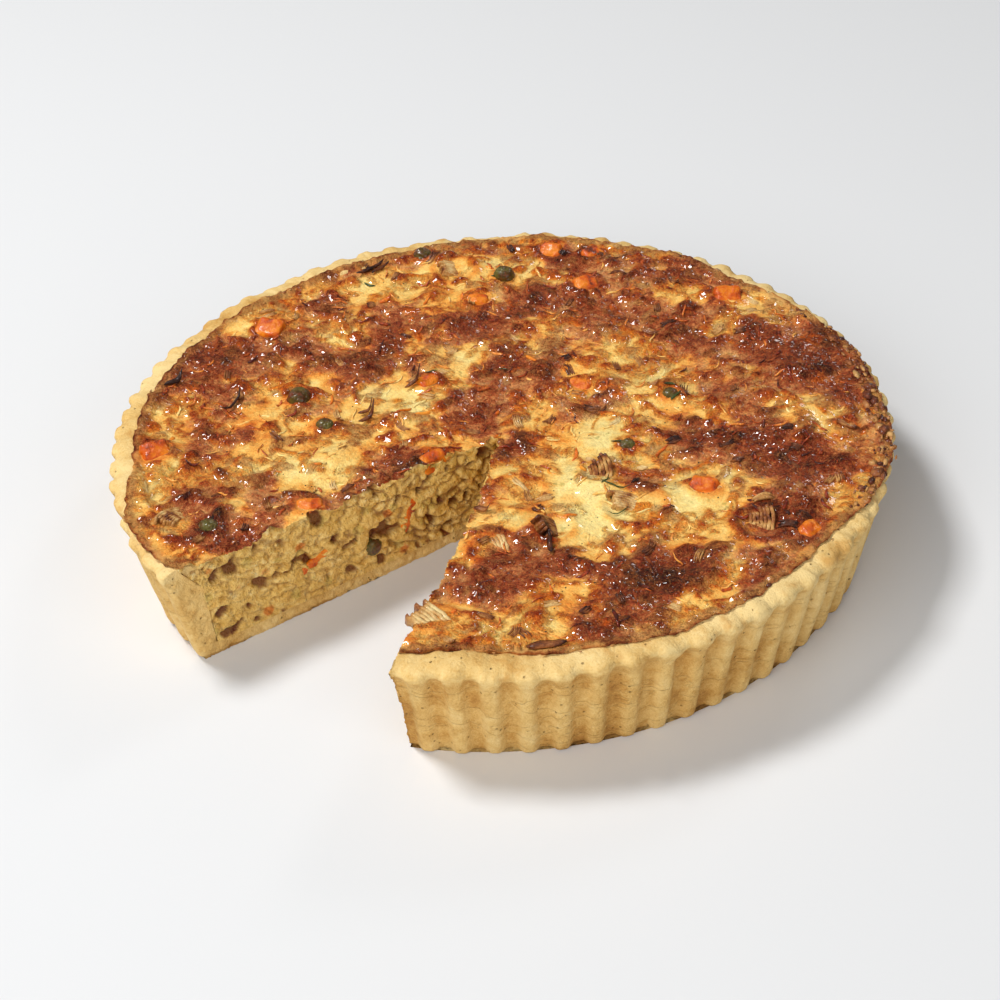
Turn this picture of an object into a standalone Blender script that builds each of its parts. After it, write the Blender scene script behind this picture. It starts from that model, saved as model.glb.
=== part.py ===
"""A round vegetable quiche in a fluted pastry shell, with one wedge-shaped portion cut out.

Metres, +Z up. The origin is the centre of the flat round underside, and the missing portion opens
towards -Y. Each thing baked into the top, and each thing the knife laid bare, is an object of its own.
"""

import math

import bmesh
import bpy
from mathutils import Matrix, Vector, noise

# Pastry shell
BASE_RADIUS = 0.1314
FLUTE_TOP_RADIUS = 0.1370
RIM_RADIUS = 0.1400
INNER_RIM_RADIUS = 0.1312
SHELL_HEIGHT = 0.0404
FLUTE_TOP_HEIGHT = 0.0300
BAND_HEIGHT = 0.0342
INNER_RIM_HEIGHT = 0.0388
BASE_THICKNESS = 0.0050
WALL_THICKNESS = 0.0072
BASE_ROUNDING = 0.0018
FLUTES = 77
STEPS_PER_FLUTE = 4
FLUTE_DEPTH = 0.0023
RIM_SCALLOP_SHARE = 0.35
RIM_UNEVENNESS = 0.0007
RIM_WAVES = 7.0

# Filling
PIECE_GAP = 0.0003
FILLING_LEVEL = 0.0372
EDGE_LEVEL = 0.0396
TOP_RINGS = 9
FILLING_STEPS = 64
LUMP_HEIGHT = 0.0021
LUMP_SPACING = 0.019
EDGE_CALM = 0.016
PUFF_HEIGHT = 0.0024
PUFF_RADIUS = 0.112
PUFF_SPREAD = 0.016
PUFF_TURN = math.radians(40)

# Missing portion: where the two cuts meet, where each leaves the rim, and how far each bows outwards
CUT_TIP = Vector((0.0048, -0.0068))
CUT_HALF_ANGLE = math.radians(19)
CUT_LENGTH = 0.16
RIGHT_CUT_BOW = 0.0050
CUT_STEPS = 6
CUT_MARGIN = 0.02

# What is baked into the top
PEA_RADIUS = 0.0041
PEA_SQUASH = (1.0, 0.94, 0.88)
PEA_POCKET_FACTOR = 1.3  # a squashed ball of flat faces needs more than the plain gap
PEA_TURN = math.radians(50)
PEA_TILT = math.radians(12)
CARROT_SIZE = Vector((0.0105, 0.0085, 0.0070))
CARROT_BEVEL = 0.0012
LEEK_THICKNESS = 0.0042
LEEK_STEPS = 4
STICK_SIZE = Vector((0.0150, 0.0036, 0.0036))

# x, y, size factor, share of the height sunk into the filling
PEAS = [
    (-0.0965, 0.0810, 1.05, 0.55),
    (-0.058, 0.085, 1.10, 0.45),
    (-0.072, -0.027, 1.15, 0.45),
    (-0.053, -0.035, 0.90, 0.55),
    (-0.046, -0.104, 0.95, 0.55),
    (0.047, 0.011, 0.85, 0.60),
    (0.043, 0.047, 0.85, 0.60),
]
# x, y, turn in degrees, tilt in degrees, size factor, share sunk
CARROTS = [
    (-0.0055, -0.0325, 70, 14, 0.95, 0.68),
    (-0.091, -0.083, 60, 30, 1.00, 0.55),
    (-0.112, 0.003, 15, 18, 1.10, 0.60),
    (-0.038, 0.007, 65, 25, 0.80, 0.60),
    (-0.057, 0.065, 30, 10, 0.85, 0.70),
    (-0.026, 0.096, 50, 22, 0.95, 0.65),
    (-0.053, 0.112, 20, 28, 0.90, 0.58),
    (-0.037, 0.118, 75, 15, 0.85, 0.62),
    (0.028, 0.115, 35, 24, 1.05, 0.60),
    (0.1245, -0.001, 80, 12, 0.80, 0.62),
    (0.082, 0.004, 10, 32, 0.95, 0.55),
    (-0.026, -0.076, 45, 16, 0.90, 0.70),
    (0.011, 0.036, 25, 12, 0.85, 0.72),
]
# x, y, turn in degrees, tilt in degrees, inner radius, width, sweep in degrees, share sunk
LEEKS = [
    (0.0300, -0.0320, 62, 12, 0.016, 0.0090, 48, 0.55),
    (0.049, -0.009, 20, 50, 0.006, 0.0080, 80, 0.45),
    (0.068, -0.017, 95, 20, 0.007, 0.0075, 90, 0.50),
    (0.052, -0.042, 130, 45, 0.006, 0.0085, 75, 0.45),
    (0.0425, -0.062, 40, 12, 0.018, 0.0085, 40, 0.60),
    (0.050, -0.104, 70, 10, 0.020, 0.0095, 45, 0.55),
    (-0.077, 0.079, 110, 25, 0.010, 0.0080, 60, 0.55),
    (-0.059, -0.103, 150, 18, 0.006, 0.0070, 150, 0.50),
    (0.110, -0.007, 10, 38, 0.007, 0.0085, 70, 0.45),
]
# Bared by the knife: which cut (-1 left, 1 right), distance from the tip, height, lean in degrees
STICKS = [
    (-1, 0.040, 0.0210, 62),
    (-1, 0.078, 0.0195, 20),
    (1, 0.062, 0.0260, 50),
    (1, 0.098, 0.0170, 25),
]
CUT_PEAS = [(-1, 0.055, 0.0140), (1, 0.082, 0.0125)]

COLOURS = {
    "pastry": ((0.80, 0.58, 0.28), 0.75),
    "custard": ((0.62, 0.30, 0.09), 0.45),
    "pea": ((0.13, 0.14, 0.03), 0.35),
    "carrot": ((0.85, 0.25, 0.03), 0.40),
    "leek": ((0.62, 0.50, 0.25), 0.50),
}


def clear_scene():
    for obj in list(bpy.data.objects):
        bpy.data.objects.remove(obj)


def make_material(name):
    colour, roughness = COLOURS[name]
    material = bpy.data.materials.new(name)
    material.use_nodes = True
    shader = material.node_tree.nodes["Principled BSDF"]
    shader.inputs["Base Color"].default_value = (*colour, 1.0)
    shader.inputs["Roughness"].default_value = roughness
    shader.inputs["Metallic"].default_value = 0.0
    return material


def make_object(name, bm, material):
    """A new object in the scene from a bmesh, which this frees."""
    bmesh.ops.recalc_face_normals(bm, faces=bm.faces)
    mesh = bpy.data.meshes.new(name)
    bm.to_mesh(mesh)
    bm.free()
    obj = bpy.data.objects.new(name, mesh)
    bpy.context.scene.collection.objects.link(obj)
    if material:
        mesh.materials.append(material)
    return obj


def make_cutter(name, bm):
    obj = make_object(name, bm, None)
    obj.hide_render = True
    obj.display_type = "WIRE"
    return obj


def subtract(obj, cutter):
    modifier = obj.modifiers.new("cut", "BOOLEAN")
    modifier.operation = "DIFFERENCE"
    modifier.solver = "EXACT"
    modifier.object = cutter


def smooth_share(value):
    """0 to 1 with level ends."""
    value = min(max(value, 0.0), 1.0)
    return value * value * (3.0 - 2.0 * value)


def turned_solid(profile, steps):
    """Closed solid of revolution from (radius, height) points whose two ends lie on the axis."""
    bm = bmesh.new()
    points = [bm.verts.new((radius, 0.0, height)) for radius, height in profile]
    edges = [bm.edges.new(pair) for pair in zip(points, points[1:])]
    turn = {"cent": (0, 0, 0), "axis": (0, 0, 1), "angle": 2 * math.pi, "steps": steps, "use_merge": True}
    bmesh.ops.spin(bm, geom=points + edges, **turn)
    bmesh.ops.remove_doubles(bm, verts=bm.verts, dist=1e-5)
    return bm


def flute_groove(turn):
    """0 on a flute's ridge and 1 in the middle of the groove beside it, round like a moulded flute."""
    across = (turn * FLUTES / (2 * math.pi)) % 1.0
    return 1.0 - (2.0 * across - 1.0) ** 2


def flute_share(height):
    """How much of the flute's depth the wall has at a height: all of it below, a third at the rim."""
    if height <= FLUTE_TOP_HEIGHT:
        return 1.0
    fade = smooth_share((height - FLUTE_TOP_HEIGHT) / (BAND_HEIGHT - FLUTE_TOP_HEIGHT))
    return 1.0 - (1.0 - RIM_SCALLOP_SHARE) * fade


def outer_radius(height):
    """The wall's radius on a ridge: a straight flare, steeper in the band under the rim."""
    if height <= FLUTE_TOP_HEIGHT:
        return BASE_RADIUS + (FLUTE_TOP_RADIUS - BASE_RADIUS) * height / FLUTE_TOP_HEIGHT
    share = (height - FLUTE_TOP_HEIGHT) / (SHELL_HEIGHT - FLUTE_TOP_HEIGHT)
    return FLUTE_TOP_RADIUS + (RIM_RADIUS - FLUTE_TOP_RADIUS) * smooth_share(share)


def make_shell():
    """The pastry shell: a fluted, flaring wall with a plain uneven band at its rim, and a flat base."""
    band_top = SHELL_HEIGHT - BASE_ROUNDING
    outer = [
        (BASE_RADIUS - BASE_ROUNDING, 0.0),
        (BASE_RADIUS, BASE_ROUNDING),
        (outer_radius(FLUTE_TOP_HEIGHT), FLUTE_TOP_HEIGHT),
        (outer_radius(BAND_HEIGHT), BAND_HEIGHT),
        (RIM_RADIUS, band_top),
        ((RIM_RADIUS + INNER_RIM_RADIUS) / 2, SHELL_HEIGHT),
    ]
    inner = [
        (INNER_RIM_RADIUS, INNER_RIM_HEIGHT),
        (BASE_RADIUS - WALL_THICKNESS, BASE_THICKNESS),
    ]
    profile = [(0.0, 0.0), *outer, *inner, (0.0, BASE_THICKNESS)]
    bm = turned_solid(profile, FLUTES * STEPS_PER_FLUTE)
    for vertex in bm.verts:
        radius = math.hypot(vertex.co.x, vertex.co.y)
        turn = math.atan2(vertex.co.y, vertex.co.x)
        if radius > outer_radius(vertex.co.z) - 2 * BASE_ROUNDING:
            depth = FLUTE_DEPTH * flute_share(vertex.co.z) * flute_groove(turn)
            vertex.co.xy *= 1.0 - depth / radius
        if vertex.co.z > INNER_RIM_HEIGHT + 1e-4:
            around = Vector((math.cos(turn), math.sin(turn), 0.0)) * RIM_WAVES
            vertex.co.z += RIM_UNEVENNESS * noise.noise(around)
    return make_object("crust", bm, make_material("pastry"))


def surface_height(x, y):
    """The baked top: level in the middle, lumpy, puffed up along one side, and meeting the rim all round."""
    radius = math.hypot(x, y)
    calm = smooth_share((INNER_RIM_RADIUS - radius) / EDGE_CALM)
    to_edge = smooth_share((radius / INNER_RIM_RADIUS) ** 2)
    lumps = LUMP_HEIGHT * noise.noise(Vector((x, y, 0.0)) / LUMP_SPACING)
    facing = max(math.cos(math.atan2(y, x) - PUFF_TURN), 0.0) ** 2
    puff = PUFF_HEIGHT * facing * math.exp(-(((radius - PUFF_RADIUS) / PUFF_SPREAD) ** 2))
    return FILLING_LEVEL + (EDGE_LEVEL - FILLING_LEVEL) * to_edge + calm * lumps + calm * puff


def make_filling():
    """The custard and vegetables as one solid that fills the shell, a hair clear of it."""
    edge = INNER_RIM_RADIUS - PIECE_GAP
    floor = BASE_THICKNESS + PIECE_GAP
    floor_edge = BASE_RADIUS - WALL_THICKNESS - 2 * PIECE_GAP
    top = [(edge * ring / TOP_RINGS, EDGE_LEVEL) for ring in range(TOP_RINGS + 1)]
    profile = [(0.0, floor), (floor_edge, floor), *reversed(top)]
    bm = turned_solid(profile, FILLING_STEPS)
    for vertex in bm.verts:
        if vertex.co.z > EDGE_LEVEL - PIECE_GAP:
            vertex.co.z = surface_height(vertex.co.x, vertex.co.y)
    return make_object("filling", bm, make_material("custard"))


def cut_line(side):
    """Points of one cut from the tip outwards: side -1 is straight, side 1 bows out."""
    heading = Vector((math.sin(CUT_HALF_ANGLE) * side, -math.cos(CUT_HALF_ANGLE)))
    outwards = Vector((math.cos(CUT_HALF_ANGLE) * side, math.sin(CUT_HALF_ANGLE)))
    bow = RIGHT_CUT_BOW if side > 0 else 0.0
    points = []
    for step in range(CUT_STEPS + 1):
        share = step / CUT_STEPS
        lift = bow * 4.0 * share * (1.0 - share)
        points.append(CUT_TIP + heading * CUT_LENGTH * share + outwards * lift)
    return points


def point_on_cut(side, distance):
    """The point of a cut at a distance from the tip, and the cut's heading there."""
    line = cut_line(side)
    place = distance / CUT_LENGTH * CUT_STEPS
    index = min(int(place), CUT_STEPS - 1)
    point = line[index].lerp(line[index + 1], place - index)
    return point, (line[index + 1] - line[index]).normalized()


def make_notch():
    """The cutter for the missing portion: its plan drawn by the two cuts, extruded through the height."""
    outline = cut_line(-1) + list(reversed(cut_line(1)[1:]))
    bm = bmesh.new()
    face = bm.faces.new([bm.verts.new((point.x, point.y, -CUT_MARGIN)) for point in outline])
    side_faces = bmesh.ops.extrude_face_region(bm, geom=[face])
    top = [item for item in side_faces["geom"] if isinstance(item, bmesh.types.BMVert)]
    bmesh.ops.translate(bm, verts=top, vec=(0, 0, SHELL_HEIGHT + 2 * CUT_MARGIN))
    return make_cutter("notch_cutter", bm)


def seated(x, y, thickness, sunk):
    """The centre of a piece of this thickness, sunk by this share of it into the surface at x, y."""
    return Vector((x, y, surface_height(x, y) + thickness * (0.5 - sunk)))


def pea_mesh(radius, grow):
    bm = bmesh.new()
    bmesh.ops.create_icosphere(bm, subdivisions=2, radius=radius + PEA_POCKET_FACTOR * grow)
    bmesh.ops.scale(bm, verts=bm.verts, vec=PEA_SQUASH)
    return bm


def block_mesh(size, bevel):
    """A cut block with its edges taken off."""
    bm = bmesh.new()
    bmesh.ops.create_cube(bm, size=1.0)
    bmesh.ops.scale(bm, verts=bm.verts, vec=size)
    bmesh.ops.bevel(
        bm, geom=bm.edges[:], offset=bevel, segments=1, profile=0.5, affect="EDGES", material=-1
    )
    return bm


def leek_mesh(inner, width, thickness, sweep):
    """A piece of a leek ring: a rectangle swept round an arc, centred on its own middle."""
    bm = bmesh.new()
    corners = [
        (inner, 0, -thickness / 2),
        (inner + width, 0, -thickness / 2),
        (inner + width, 0, thickness / 2),
        (inner, 0, thickness / 2),
    ]
    face = bm.faces.new([bm.verts.new(corner) for corner in corners])
    bmesh.ops.rotate(bm, verts=bm.verts, matrix=Matrix.Rotation(-sweep / 2, 3, "Z"))
    bmesh.ops.spin(
        bm, geom=[face], cent=(0, 0, 0), axis=(0, 0, 1), angle=sweep, steps=LEEK_STEPS, use_duplicate=False
    )
    bmesh.ops.translate(bm, verts=bm.verts, vec=(-(inner + width / 2), 0, 0))
    return bm


def place(bm, centre, turn, tilt):
    """Tilts a piece about X, turns it about Z, and moves it to its centre."""
    bmesh.ops.rotate(bm, verts=bm.verts, matrix=Matrix.Rotation(tilt, 3, "X"))
    bmesh.ops.rotate(bm, verts=bm.verts, matrix=Matrix.Rotation(turn, 3, "Z"))
    bmesh.ops.translate(bm, verts=bm.verts, vec=centre)


def add_piece(name, make_mesh, centre, turn, tilt, material, filling):
    """One topping, and the pocket in the filling that takes it with a small gap all round."""
    pieces = []
    for label, grow in ((name, 0.0), (name + "_pocket", PIECE_GAP)):
        bm = make_mesh(grow)
        place(bm, centre, turn, tilt)
        pieces.append(make_cutter(label, bm) if grow else make_object(label, bm, material))
    subtract(filling, pieces[1])
    return pieces[0]


def add_peas(filling):
    """Whole peas in the top, and the peas that a cut halves."""
    material = make_material("pea")
    places = []
    for number, (x, y, factor, sunk) in enumerate(PEAS, 1):
        radius = PEA_RADIUS * factor
        places.append((f"pea_{number}", radius, seated(x, y, 2 * radius, sunk)))
    for number, (side, distance, height) in enumerate(CUT_PEAS, 1):
        point, _ = point_on_cut(side, distance)
        places.append((f"cut_pea_{number}", PEA_RADIUS, Vector((point.x, point.y, height))))
    made = []
    for index, (name, radius, centre) in enumerate(places):
        turn = index * PEA_TURN
        made.append(
            add_piece(name, lambda grow: pea_mesh(radius, grow), centre, turn, PEA_TILT, material, filling)
        )
    return made


def add_carrots(filling):
    """Carrot dice in the top, and the sticks that a cut slices along."""
    material = make_material("carrot")
    made = []
    for number, (x, y, turn, tilt, factor, sunk) in enumerate(CARROTS, 1):
        size = CARROT_SIZE * factor
        made.append(
            add_piece(
                f"carrot_{number}",
                lambda grow: block_mesh(size + Vector((2, 2, 2)) * grow, CARROT_BEVEL),
                seated(x, y, size.z, sunk),
                math.radians(turn),
                math.radians(tilt),
                material,
                filling,
            )
        )
    for number, (side, distance, height, lean) in enumerate(STICKS, 1):
        point, heading = point_on_cut(side, distance)
        turn = math.atan2(heading.y, heading.x)
        made.append(
            add_piece(
                f"carrot_stick_{number}",
                lambda grow: leaning_stick(STICK_SIZE + Vector((2, 2, 2)) * grow, math.radians(lean)),
                Vector((point.x, point.y, height)),
                turn,
                0.0,
                material,
                filling,
            )
        )
    return made


def leaning_stick(size, lean):
    """A carrot stick along X that leans down towards its far end."""
    bm = block_mesh(size, CARROT_BEVEL / 2)
    bmesh.ops.rotate(bm, verts=bm.verts, matrix=Matrix.Rotation(lean, 3, "Y"))
    return bm


def add_leeks(filling):
    """Pieces of leek ring, each lying or standing as it baked."""
    material = make_material("leek")
    made = []
    for number, (x, y, turn, tilt, inner, width, sweep, sunk) in enumerate(LEEKS, 1):
        arc = math.radians(sweep)
        made.append(
            add_piece(
                f"leek_{number}",
                lambda grow: leek_mesh(
                    inner - grow, width + 2 * grow, LEEK_THICKNESS + 2 * grow, arc + 2 * grow / inner
                ),
                seated(x, y, LEEK_THICKNESS, sunk),
                math.radians(turn),
                math.radians(tilt),
                material,
                filling,
            )
        )
    return made


def main():
    clear_scene()
    notch = make_notch()
    shell = make_shell()
    filling = make_filling()
    toppings = add_peas(filling) + add_carrots(filling) + add_leeks(filling)
    for obj in [shell, filling, *toppings]:
        subtract(obj, notch)
        obj.data.shade_smooth()
        obj.data.set_sharp_from_angle(angle=math.radians(30))


main()
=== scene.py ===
"""Looks of a round vegetable quiche with one portion cut out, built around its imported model.

The browned top is a relief: shreds of cheese, carrot and leek are laid on a fine height field, melted
together, and flooded with custard. The pastry shell, the cut faces and each topping are meshes of their own.
"""

import math

import bmesh
import bpy
import numpy as np
from mathutils import Matrix, Vector, noise


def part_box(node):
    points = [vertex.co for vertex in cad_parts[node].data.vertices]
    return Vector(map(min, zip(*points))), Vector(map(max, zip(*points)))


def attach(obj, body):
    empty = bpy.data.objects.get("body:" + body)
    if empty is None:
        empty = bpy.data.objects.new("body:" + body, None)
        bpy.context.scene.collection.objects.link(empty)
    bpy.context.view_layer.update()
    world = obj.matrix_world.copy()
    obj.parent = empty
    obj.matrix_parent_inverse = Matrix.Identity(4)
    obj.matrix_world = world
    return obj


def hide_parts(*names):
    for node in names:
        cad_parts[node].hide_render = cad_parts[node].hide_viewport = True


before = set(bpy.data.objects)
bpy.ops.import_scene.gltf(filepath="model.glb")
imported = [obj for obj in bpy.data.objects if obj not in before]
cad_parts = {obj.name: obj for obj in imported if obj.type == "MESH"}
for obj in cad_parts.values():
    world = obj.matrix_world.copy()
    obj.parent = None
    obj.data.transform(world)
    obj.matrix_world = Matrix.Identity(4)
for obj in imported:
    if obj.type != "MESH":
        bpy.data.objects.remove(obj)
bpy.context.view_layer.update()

BODY = "root"

# Sizes read from the frame
SHELL_LOW, SHELL_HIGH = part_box("crust")
FILLING_LOW, FILLING_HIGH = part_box("filling")
RIM_RADIUS = SHELL_HIGH.y
FILLING_RADIUS = FILLING_HIGH.y
FLOOR_HEIGHT = FILLING_LOW.z

# Pastry shell, as its model has it
BASE_RADIUS = 0.1314
FLUTE_TOP_RADIUS = 0.1370
SHELL_HEIGHT = 0.0404
FLUTE_TOP_HEIGHT = 0.0300
BAND_HEIGHT = 0.0342
INNER_RIM_HEIGHT = 0.0388
BASE_THICKNESS = 0.0050
WALL_THICKNESS = 0.0072
BASE_ROUNDING = 0.0018
FLUTES = 77
STEPS_PER_FLUTE = 12
FLUTE_DEPTH = 0.0025
RIM_SCALLOP_SHARE = 0.42
RIM_DIP = 0.0009
ARCH_TOP = 0.0370
ARCH_RISE = 0.0050
ARCH_FADE = 0.0018
RIM_LAP = 0.0045
OUTER_ROWS = 26
RIM_ROWS = 9

# Filling, as its model has it
FILLING_LEVEL = 0.0372
EDGE_LEVEL = 0.0396
LUMP_HEIGHT = 0.0021
LUMP_SPACING = 0.019
EDGE_CALM = 0.016
PUFF_HEIGHT = 0.0024
PUFF_RADIUS = 0.112
PUFF_SPREAD = 0.016
PUFF_TURN = math.radians(40)

# Missing portion, as its model has it
CUT_TIP = Vector((0.0048, -0.0068))
CUT_HALF_ANGLE = math.radians(19)
CUT_LENGTH = 0.16
RIGHT_CUT_BOW = 0.0050
CUT_STEPS = 6
CUT_MARGIN = 0.02
CUT_CELL = 0.0006
CUT_PULL = 0.0045

# The baked top is a slab over the body of the filling; their cut faces cross at the seam
SLAB_LOW = FILLING_LEVEL - 0.0066
SEAM = SLAB_LOW + 0.0006
BODY_TOP = SLAB_LOW + 0.0012
BODY_RADIUS = FILLING_RADIUS - RIM_LAP + 0.0002

# Relief of the top
CELL = 0.0004
FIELD_HALF = 0.1392
TOP_SEGMENTS = 660
TOP_TILES = (3, 2)
BASE_CELL = 0.001
LATTICE = 97
SHREDS = 1900
SHRED_LENGTH = (0.0025, 0.0100)
SHRED_WIDTH = (0.0005, 0.0015)
SHRED_THICKNESS = (0.0003, 0.0009)
SHRED_TILT = 0.16
CARROT_SHARE = 0.07
LEEK_SHARE = 0.14
CHUNKS = 330
CHUNK_LENGTH = (0.0028, 0.0052)
CHUNK_THICKNESS = (0.0010, 0.0026)

# Leeks as the model has them: x, y, turn and tilt in degrees, inner radius, width, sweep in degrees, share sunk,
# and how browned each is
LEEKS = [
    (0.0300, -0.0320, 62, 12, 0.016, 0.0090, 48, 0.55, 0.05),
    (0.049, -0.009, 20, 50, 0.006, 0.0080, 80, 0.45, 0.22),
    (0.068, -0.017, 95, 20, 0.007, 0.0075, 90, 0.50, 0.05),
    (0.052, -0.042, 130, 45, 0.006, 0.0085, 75, 0.45, 0.20),
    (0.0425, -0.062, 40, 12, 0.018, 0.0085, 40, 0.60, 0.12),
    (0.050, -0.104, 70, 10, 0.020, 0.0095, 45, 0.55, 0.02),
    (-0.077, 0.079, 110, 25, 0.010, 0.0080, 60, 0.55, 0.10),
    (-0.059, -0.103, 150, 18, 0.006, 0.0070, 120, 0.50, 0.14),
    (0.110, -0.007, 10, 38, 0.007, 0.0085, 70, 0.45, 0.24),
]
LEEK_THICKNESS = 0.0042
LEEK_SETTLED = 0.0018
LEEK_LAYERS = 7
LEEK_ARC_STEPS = 14

# Burnt ends of leek: x, y, heading in degrees, half length, half width, thickness, bend, rise, curl
BURNT_STRIPS = [
    (-0.092, 0.097, 20, 0.0060, 0.0017, 0.0005, 20, 0.0011, 0.0050),
    (-0.089, 0.100, 35, 0.0045, 0.0012, 0.0005, 0, 0.0014, 0.0060),
    (-0.107, 0.060, 80, 0.0072, 0.0011, 0.0006, 15, 0.0009, 0.0020),
    (-0.104, 0.062, 85, 0.0050, 0.0008, 0.0005, -15, 0.0010, 0.0030),
    (-0.088, -0.045, 100, 0.0070, 0.0006, 0.0004, 25, 0.0012, 0.0070),
    (0.084, -0.094, 42, 0.0062, 0.0019, 0.0005, 5, 0.0008, 0.0000),
    (0.045, -0.119, 28, 0.0040, 0.0011, 0.0005, 10, 0.0007, 0.0020),
    (-0.041, 0.002, 65, 0.0035, 0.0009, 0.0006, 0, 0.0016, 0.0140),
    (-0.043, -0.023, 75, 0.0038, 0.0011, 0.0006, 0, 0.0014, 0.0120),
    (-0.046, -0.020, 60, 0.0030, 0.0008, 0.0005, 0, 0.0012, 0.0100),
    (0.026, -0.047, 15, 0.0030, 0.0015, 0.0006, 0, 0.0012, 0.0050),
    (0.057, -0.052, 130, 0.0036, 0.0010, 0.0005, 20, 0.0013, 0.0060),
    (-0.117, -0.046, 70, 0.0040, 0.0013, 0.0006, 0, 0.0012, 0.0080),
]
# Herb stalks, in the same order
HERB_STALKS = [
    (0.057, -0.014, 10, 0.0055, 0.00028, 0.00028, 70, 0.0005, 0.0010),
    (0.061, -0.020, 160, 0.0048, 0.00024, 0.00024, -90, 0.0007, 0.0020),
    (0.066, -0.024, 60, 0.0040, 0.00024, 0.00024, 80, 0.0006, 0.0010),
    (0.053, -0.012, 100, 0.0030, 0.00045, 0.00024, 40, 0.0004, 0.0000),
    (0.044, 0.010, 30, 0.0028, 0.00040, 0.00024, 60, 0.0004, 0.0000),
    (0.046, 0.046, 80, 0.0026, 0.00060, 0.00030, 60, 0.0005, 0.0000),
    (0.041, 0.050, 20, 0.0022, 0.00060, 0.00030, -60, 0.0004, 0.0000),
    (-0.014, -0.082, 120, 0.0030, 0.00050, 0.00028, 50, 0.0004, 0.0000),
    (-0.040, 0.012, 50, 0.0024, 0.00045, 0.00024, 50, 0.0004, 0.0000),
    (-0.020, 0.030, 20, 0.0020, 0.00045, 0.00024, -50, 0.0004, 0.0000),
    (-0.060, 0.083, 60, 0.0026, 0.00045, 0.00024, 40, 0.0005, 0.0000),
    (-0.101, 0.051, 10, 0.0026, 0.00060, 0.00030, 30, 0.0004, 0.0000),
]
BUNDLE_PITCH = 1.7

# How far the baked filling reaches over the pastry: direction in degrees, radius in mm
REACH = [
    (-180, 130.5), (-160, 131.0), (-145, 131.5), (-133, 130.5), (-127, 135.0), (-120, 137.5), (-113, 136.5),
    (-104, 134.0), (-68, 130.5), (-64, 127.8), (-54, 128.0), (-48, 130.5), (-40, 131.5), (-30, 133.5),
    (-18, 132.8), (-8, 131.8), (1, 132.3), (9, 135.8), (18, 138.8), (26, 138.6), (36, 136.8), (52, 136.5),
    (64, 134.5), (74, 131.5), (84, 131.5), (91, 135.5), (99, 133.0), (116, 133.5), (130, 133.0),
    (143, 130.0), (160, 130.0), (180, 130.5),
]
SPILL_RADIUS = 0.1340
SPILL_TURN = math.radians(38)
EDGE_CRUMBS = 1700

TOP_PAINT = ("browning", "carrot", "leek", "oil", "skin", "edge", "crevice_shade", "pool")

# Browning, laid out as seen from the camera's side: to the right, away, radius (mm), strength;
# above zero is browner, below zero is paler
PATCHES = [
    # left side
    (-115, 45, 15, 0.7),
    (-98, 54, 13, 0.6),
    (-75, 50, 13, 0.5),
    (-50, 47, 15, 0.9),
    (-108, 4, 11, 0.5),
    (-88, 2, 9, 0.5),
    (-108, -42, 9, 0.6),
    (-98, -60, 10, 0.9),
    (-84, -64, 9, 0.8),
    (-65, -8, 7, 0.5),
    (-60, 62, 9, -0.5),
    (-96, 74, 9, -0.4),
    (-38, 30, 11, -0.6),
    (-48, 20, 10, -0.5),
    (-62, -14, 11, -0.5),
    (-80, -18, 11, -0.5),
    (-62, -32, 11, -0.55),
    (-90, -47, 9, -0.6),
    (-68, -52, 9, -0.6),
    # far side
    (-44, 72, 13, 0.6),
    (-18, 70, 13, 0.6),
    (4, 70, 13, 0.6),
    (-66, 86, 9, 0.6),
    (18, 84, 10, 1.0),
    (36, 74, 12, 0.5),
    (30, 112, 9, 0.6),
    (74, 100, 15, 0.7),
    (60, 92, 10, 0.5),
    (-52, 98, 11, -0.5),
    (-8, 90, 10, -0.45),
    (-2, 108, 9, -0.4),
    (-26, 112, 8, -0.4),
    (45, 100, 8, -0.4),
    # middle
    (2, 40, 11, 0.8),
    (20, 29, 9, 0.7),
    (-12, 12, 10, 0.5),
    (-34, -22, 13, 0.8),
    (6, -16, 8, 0.8),
    (-12, 42, 11, -0.8),
    (-30, 14, 8, -0.5),
    (52, 20, 11, -0.7),
    (40, 45, 8, -0.5),
    (34, -14, 11, -1.2),
    (28, -36, 10, -1.1),
    (31, -52, 12, -1.2),
    (20, -66, 9, -0.9),
    (2, -57, 8, -0.7),
    # right side
    (76, 56, 15, 0.7),
    (96, 46, 9, 0.7),
    (111, 30, 14, 0.8),
    (125, 20, 11, 0.9),
    (128, 42, 9, 0.9),
    (124, 2, 9, 0.6),
    (70, -14, 10, 0.6),
    (96, -28, 13, 1.1),
    (108, -38, 11, 1.1),
    (84, -20, 9, 0.6),
    (92, -66, 11, 0.8),
    (86, 52, 7, -0.7),
    (104, 74, 8, -0.6),
    (62, -52, 10, -0.8),
    (74, -40, 9, -0.6),
    # near side
    (50, -92, 12, 1.1),
    (42, -102, 12, 1.1),
    (62, -84, 9, 0.8),
    (32, -90, 8, 0.6),
    (28, -114, 11, 0.7),
    (-6, -95, 13, 0.7),
    (15, -84, 8, 0.6),
]

# Camera and light, relative to the camera's side of the object
CAMERA_TURN = math.radians(37.0)
CAMERA_PLACE = (0.0, -0.5362, 0.3996)
CAMERA_AIM = (-0.0016, 0.0, 0.0027)
CAMERA_ROLL = math.radians(-3.19)
CAMERA_LENS = 64.58
FLOOR_REACH = 6.0
WORLD_STRENGTH = 0.07
# name; place to the right of the camera's line, away and up; size; watts; whether glossy surfaces mirror it
LIGHTS = [
    ("key", (-1.00, 0.45, 1.80), (0.50, 0.50), 33.0, True),
    ("fill", (-0.95, -1.50, 1.15), (1.6, 1.2), 26.0, False),
    ("front", (1.00, -1.50, 1.00), (1.6, 1.2), 10.5, True),
    ("back", (0.90, 1.30, 1.10), (0.40, 0.40), 3.5, True),
]


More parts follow.
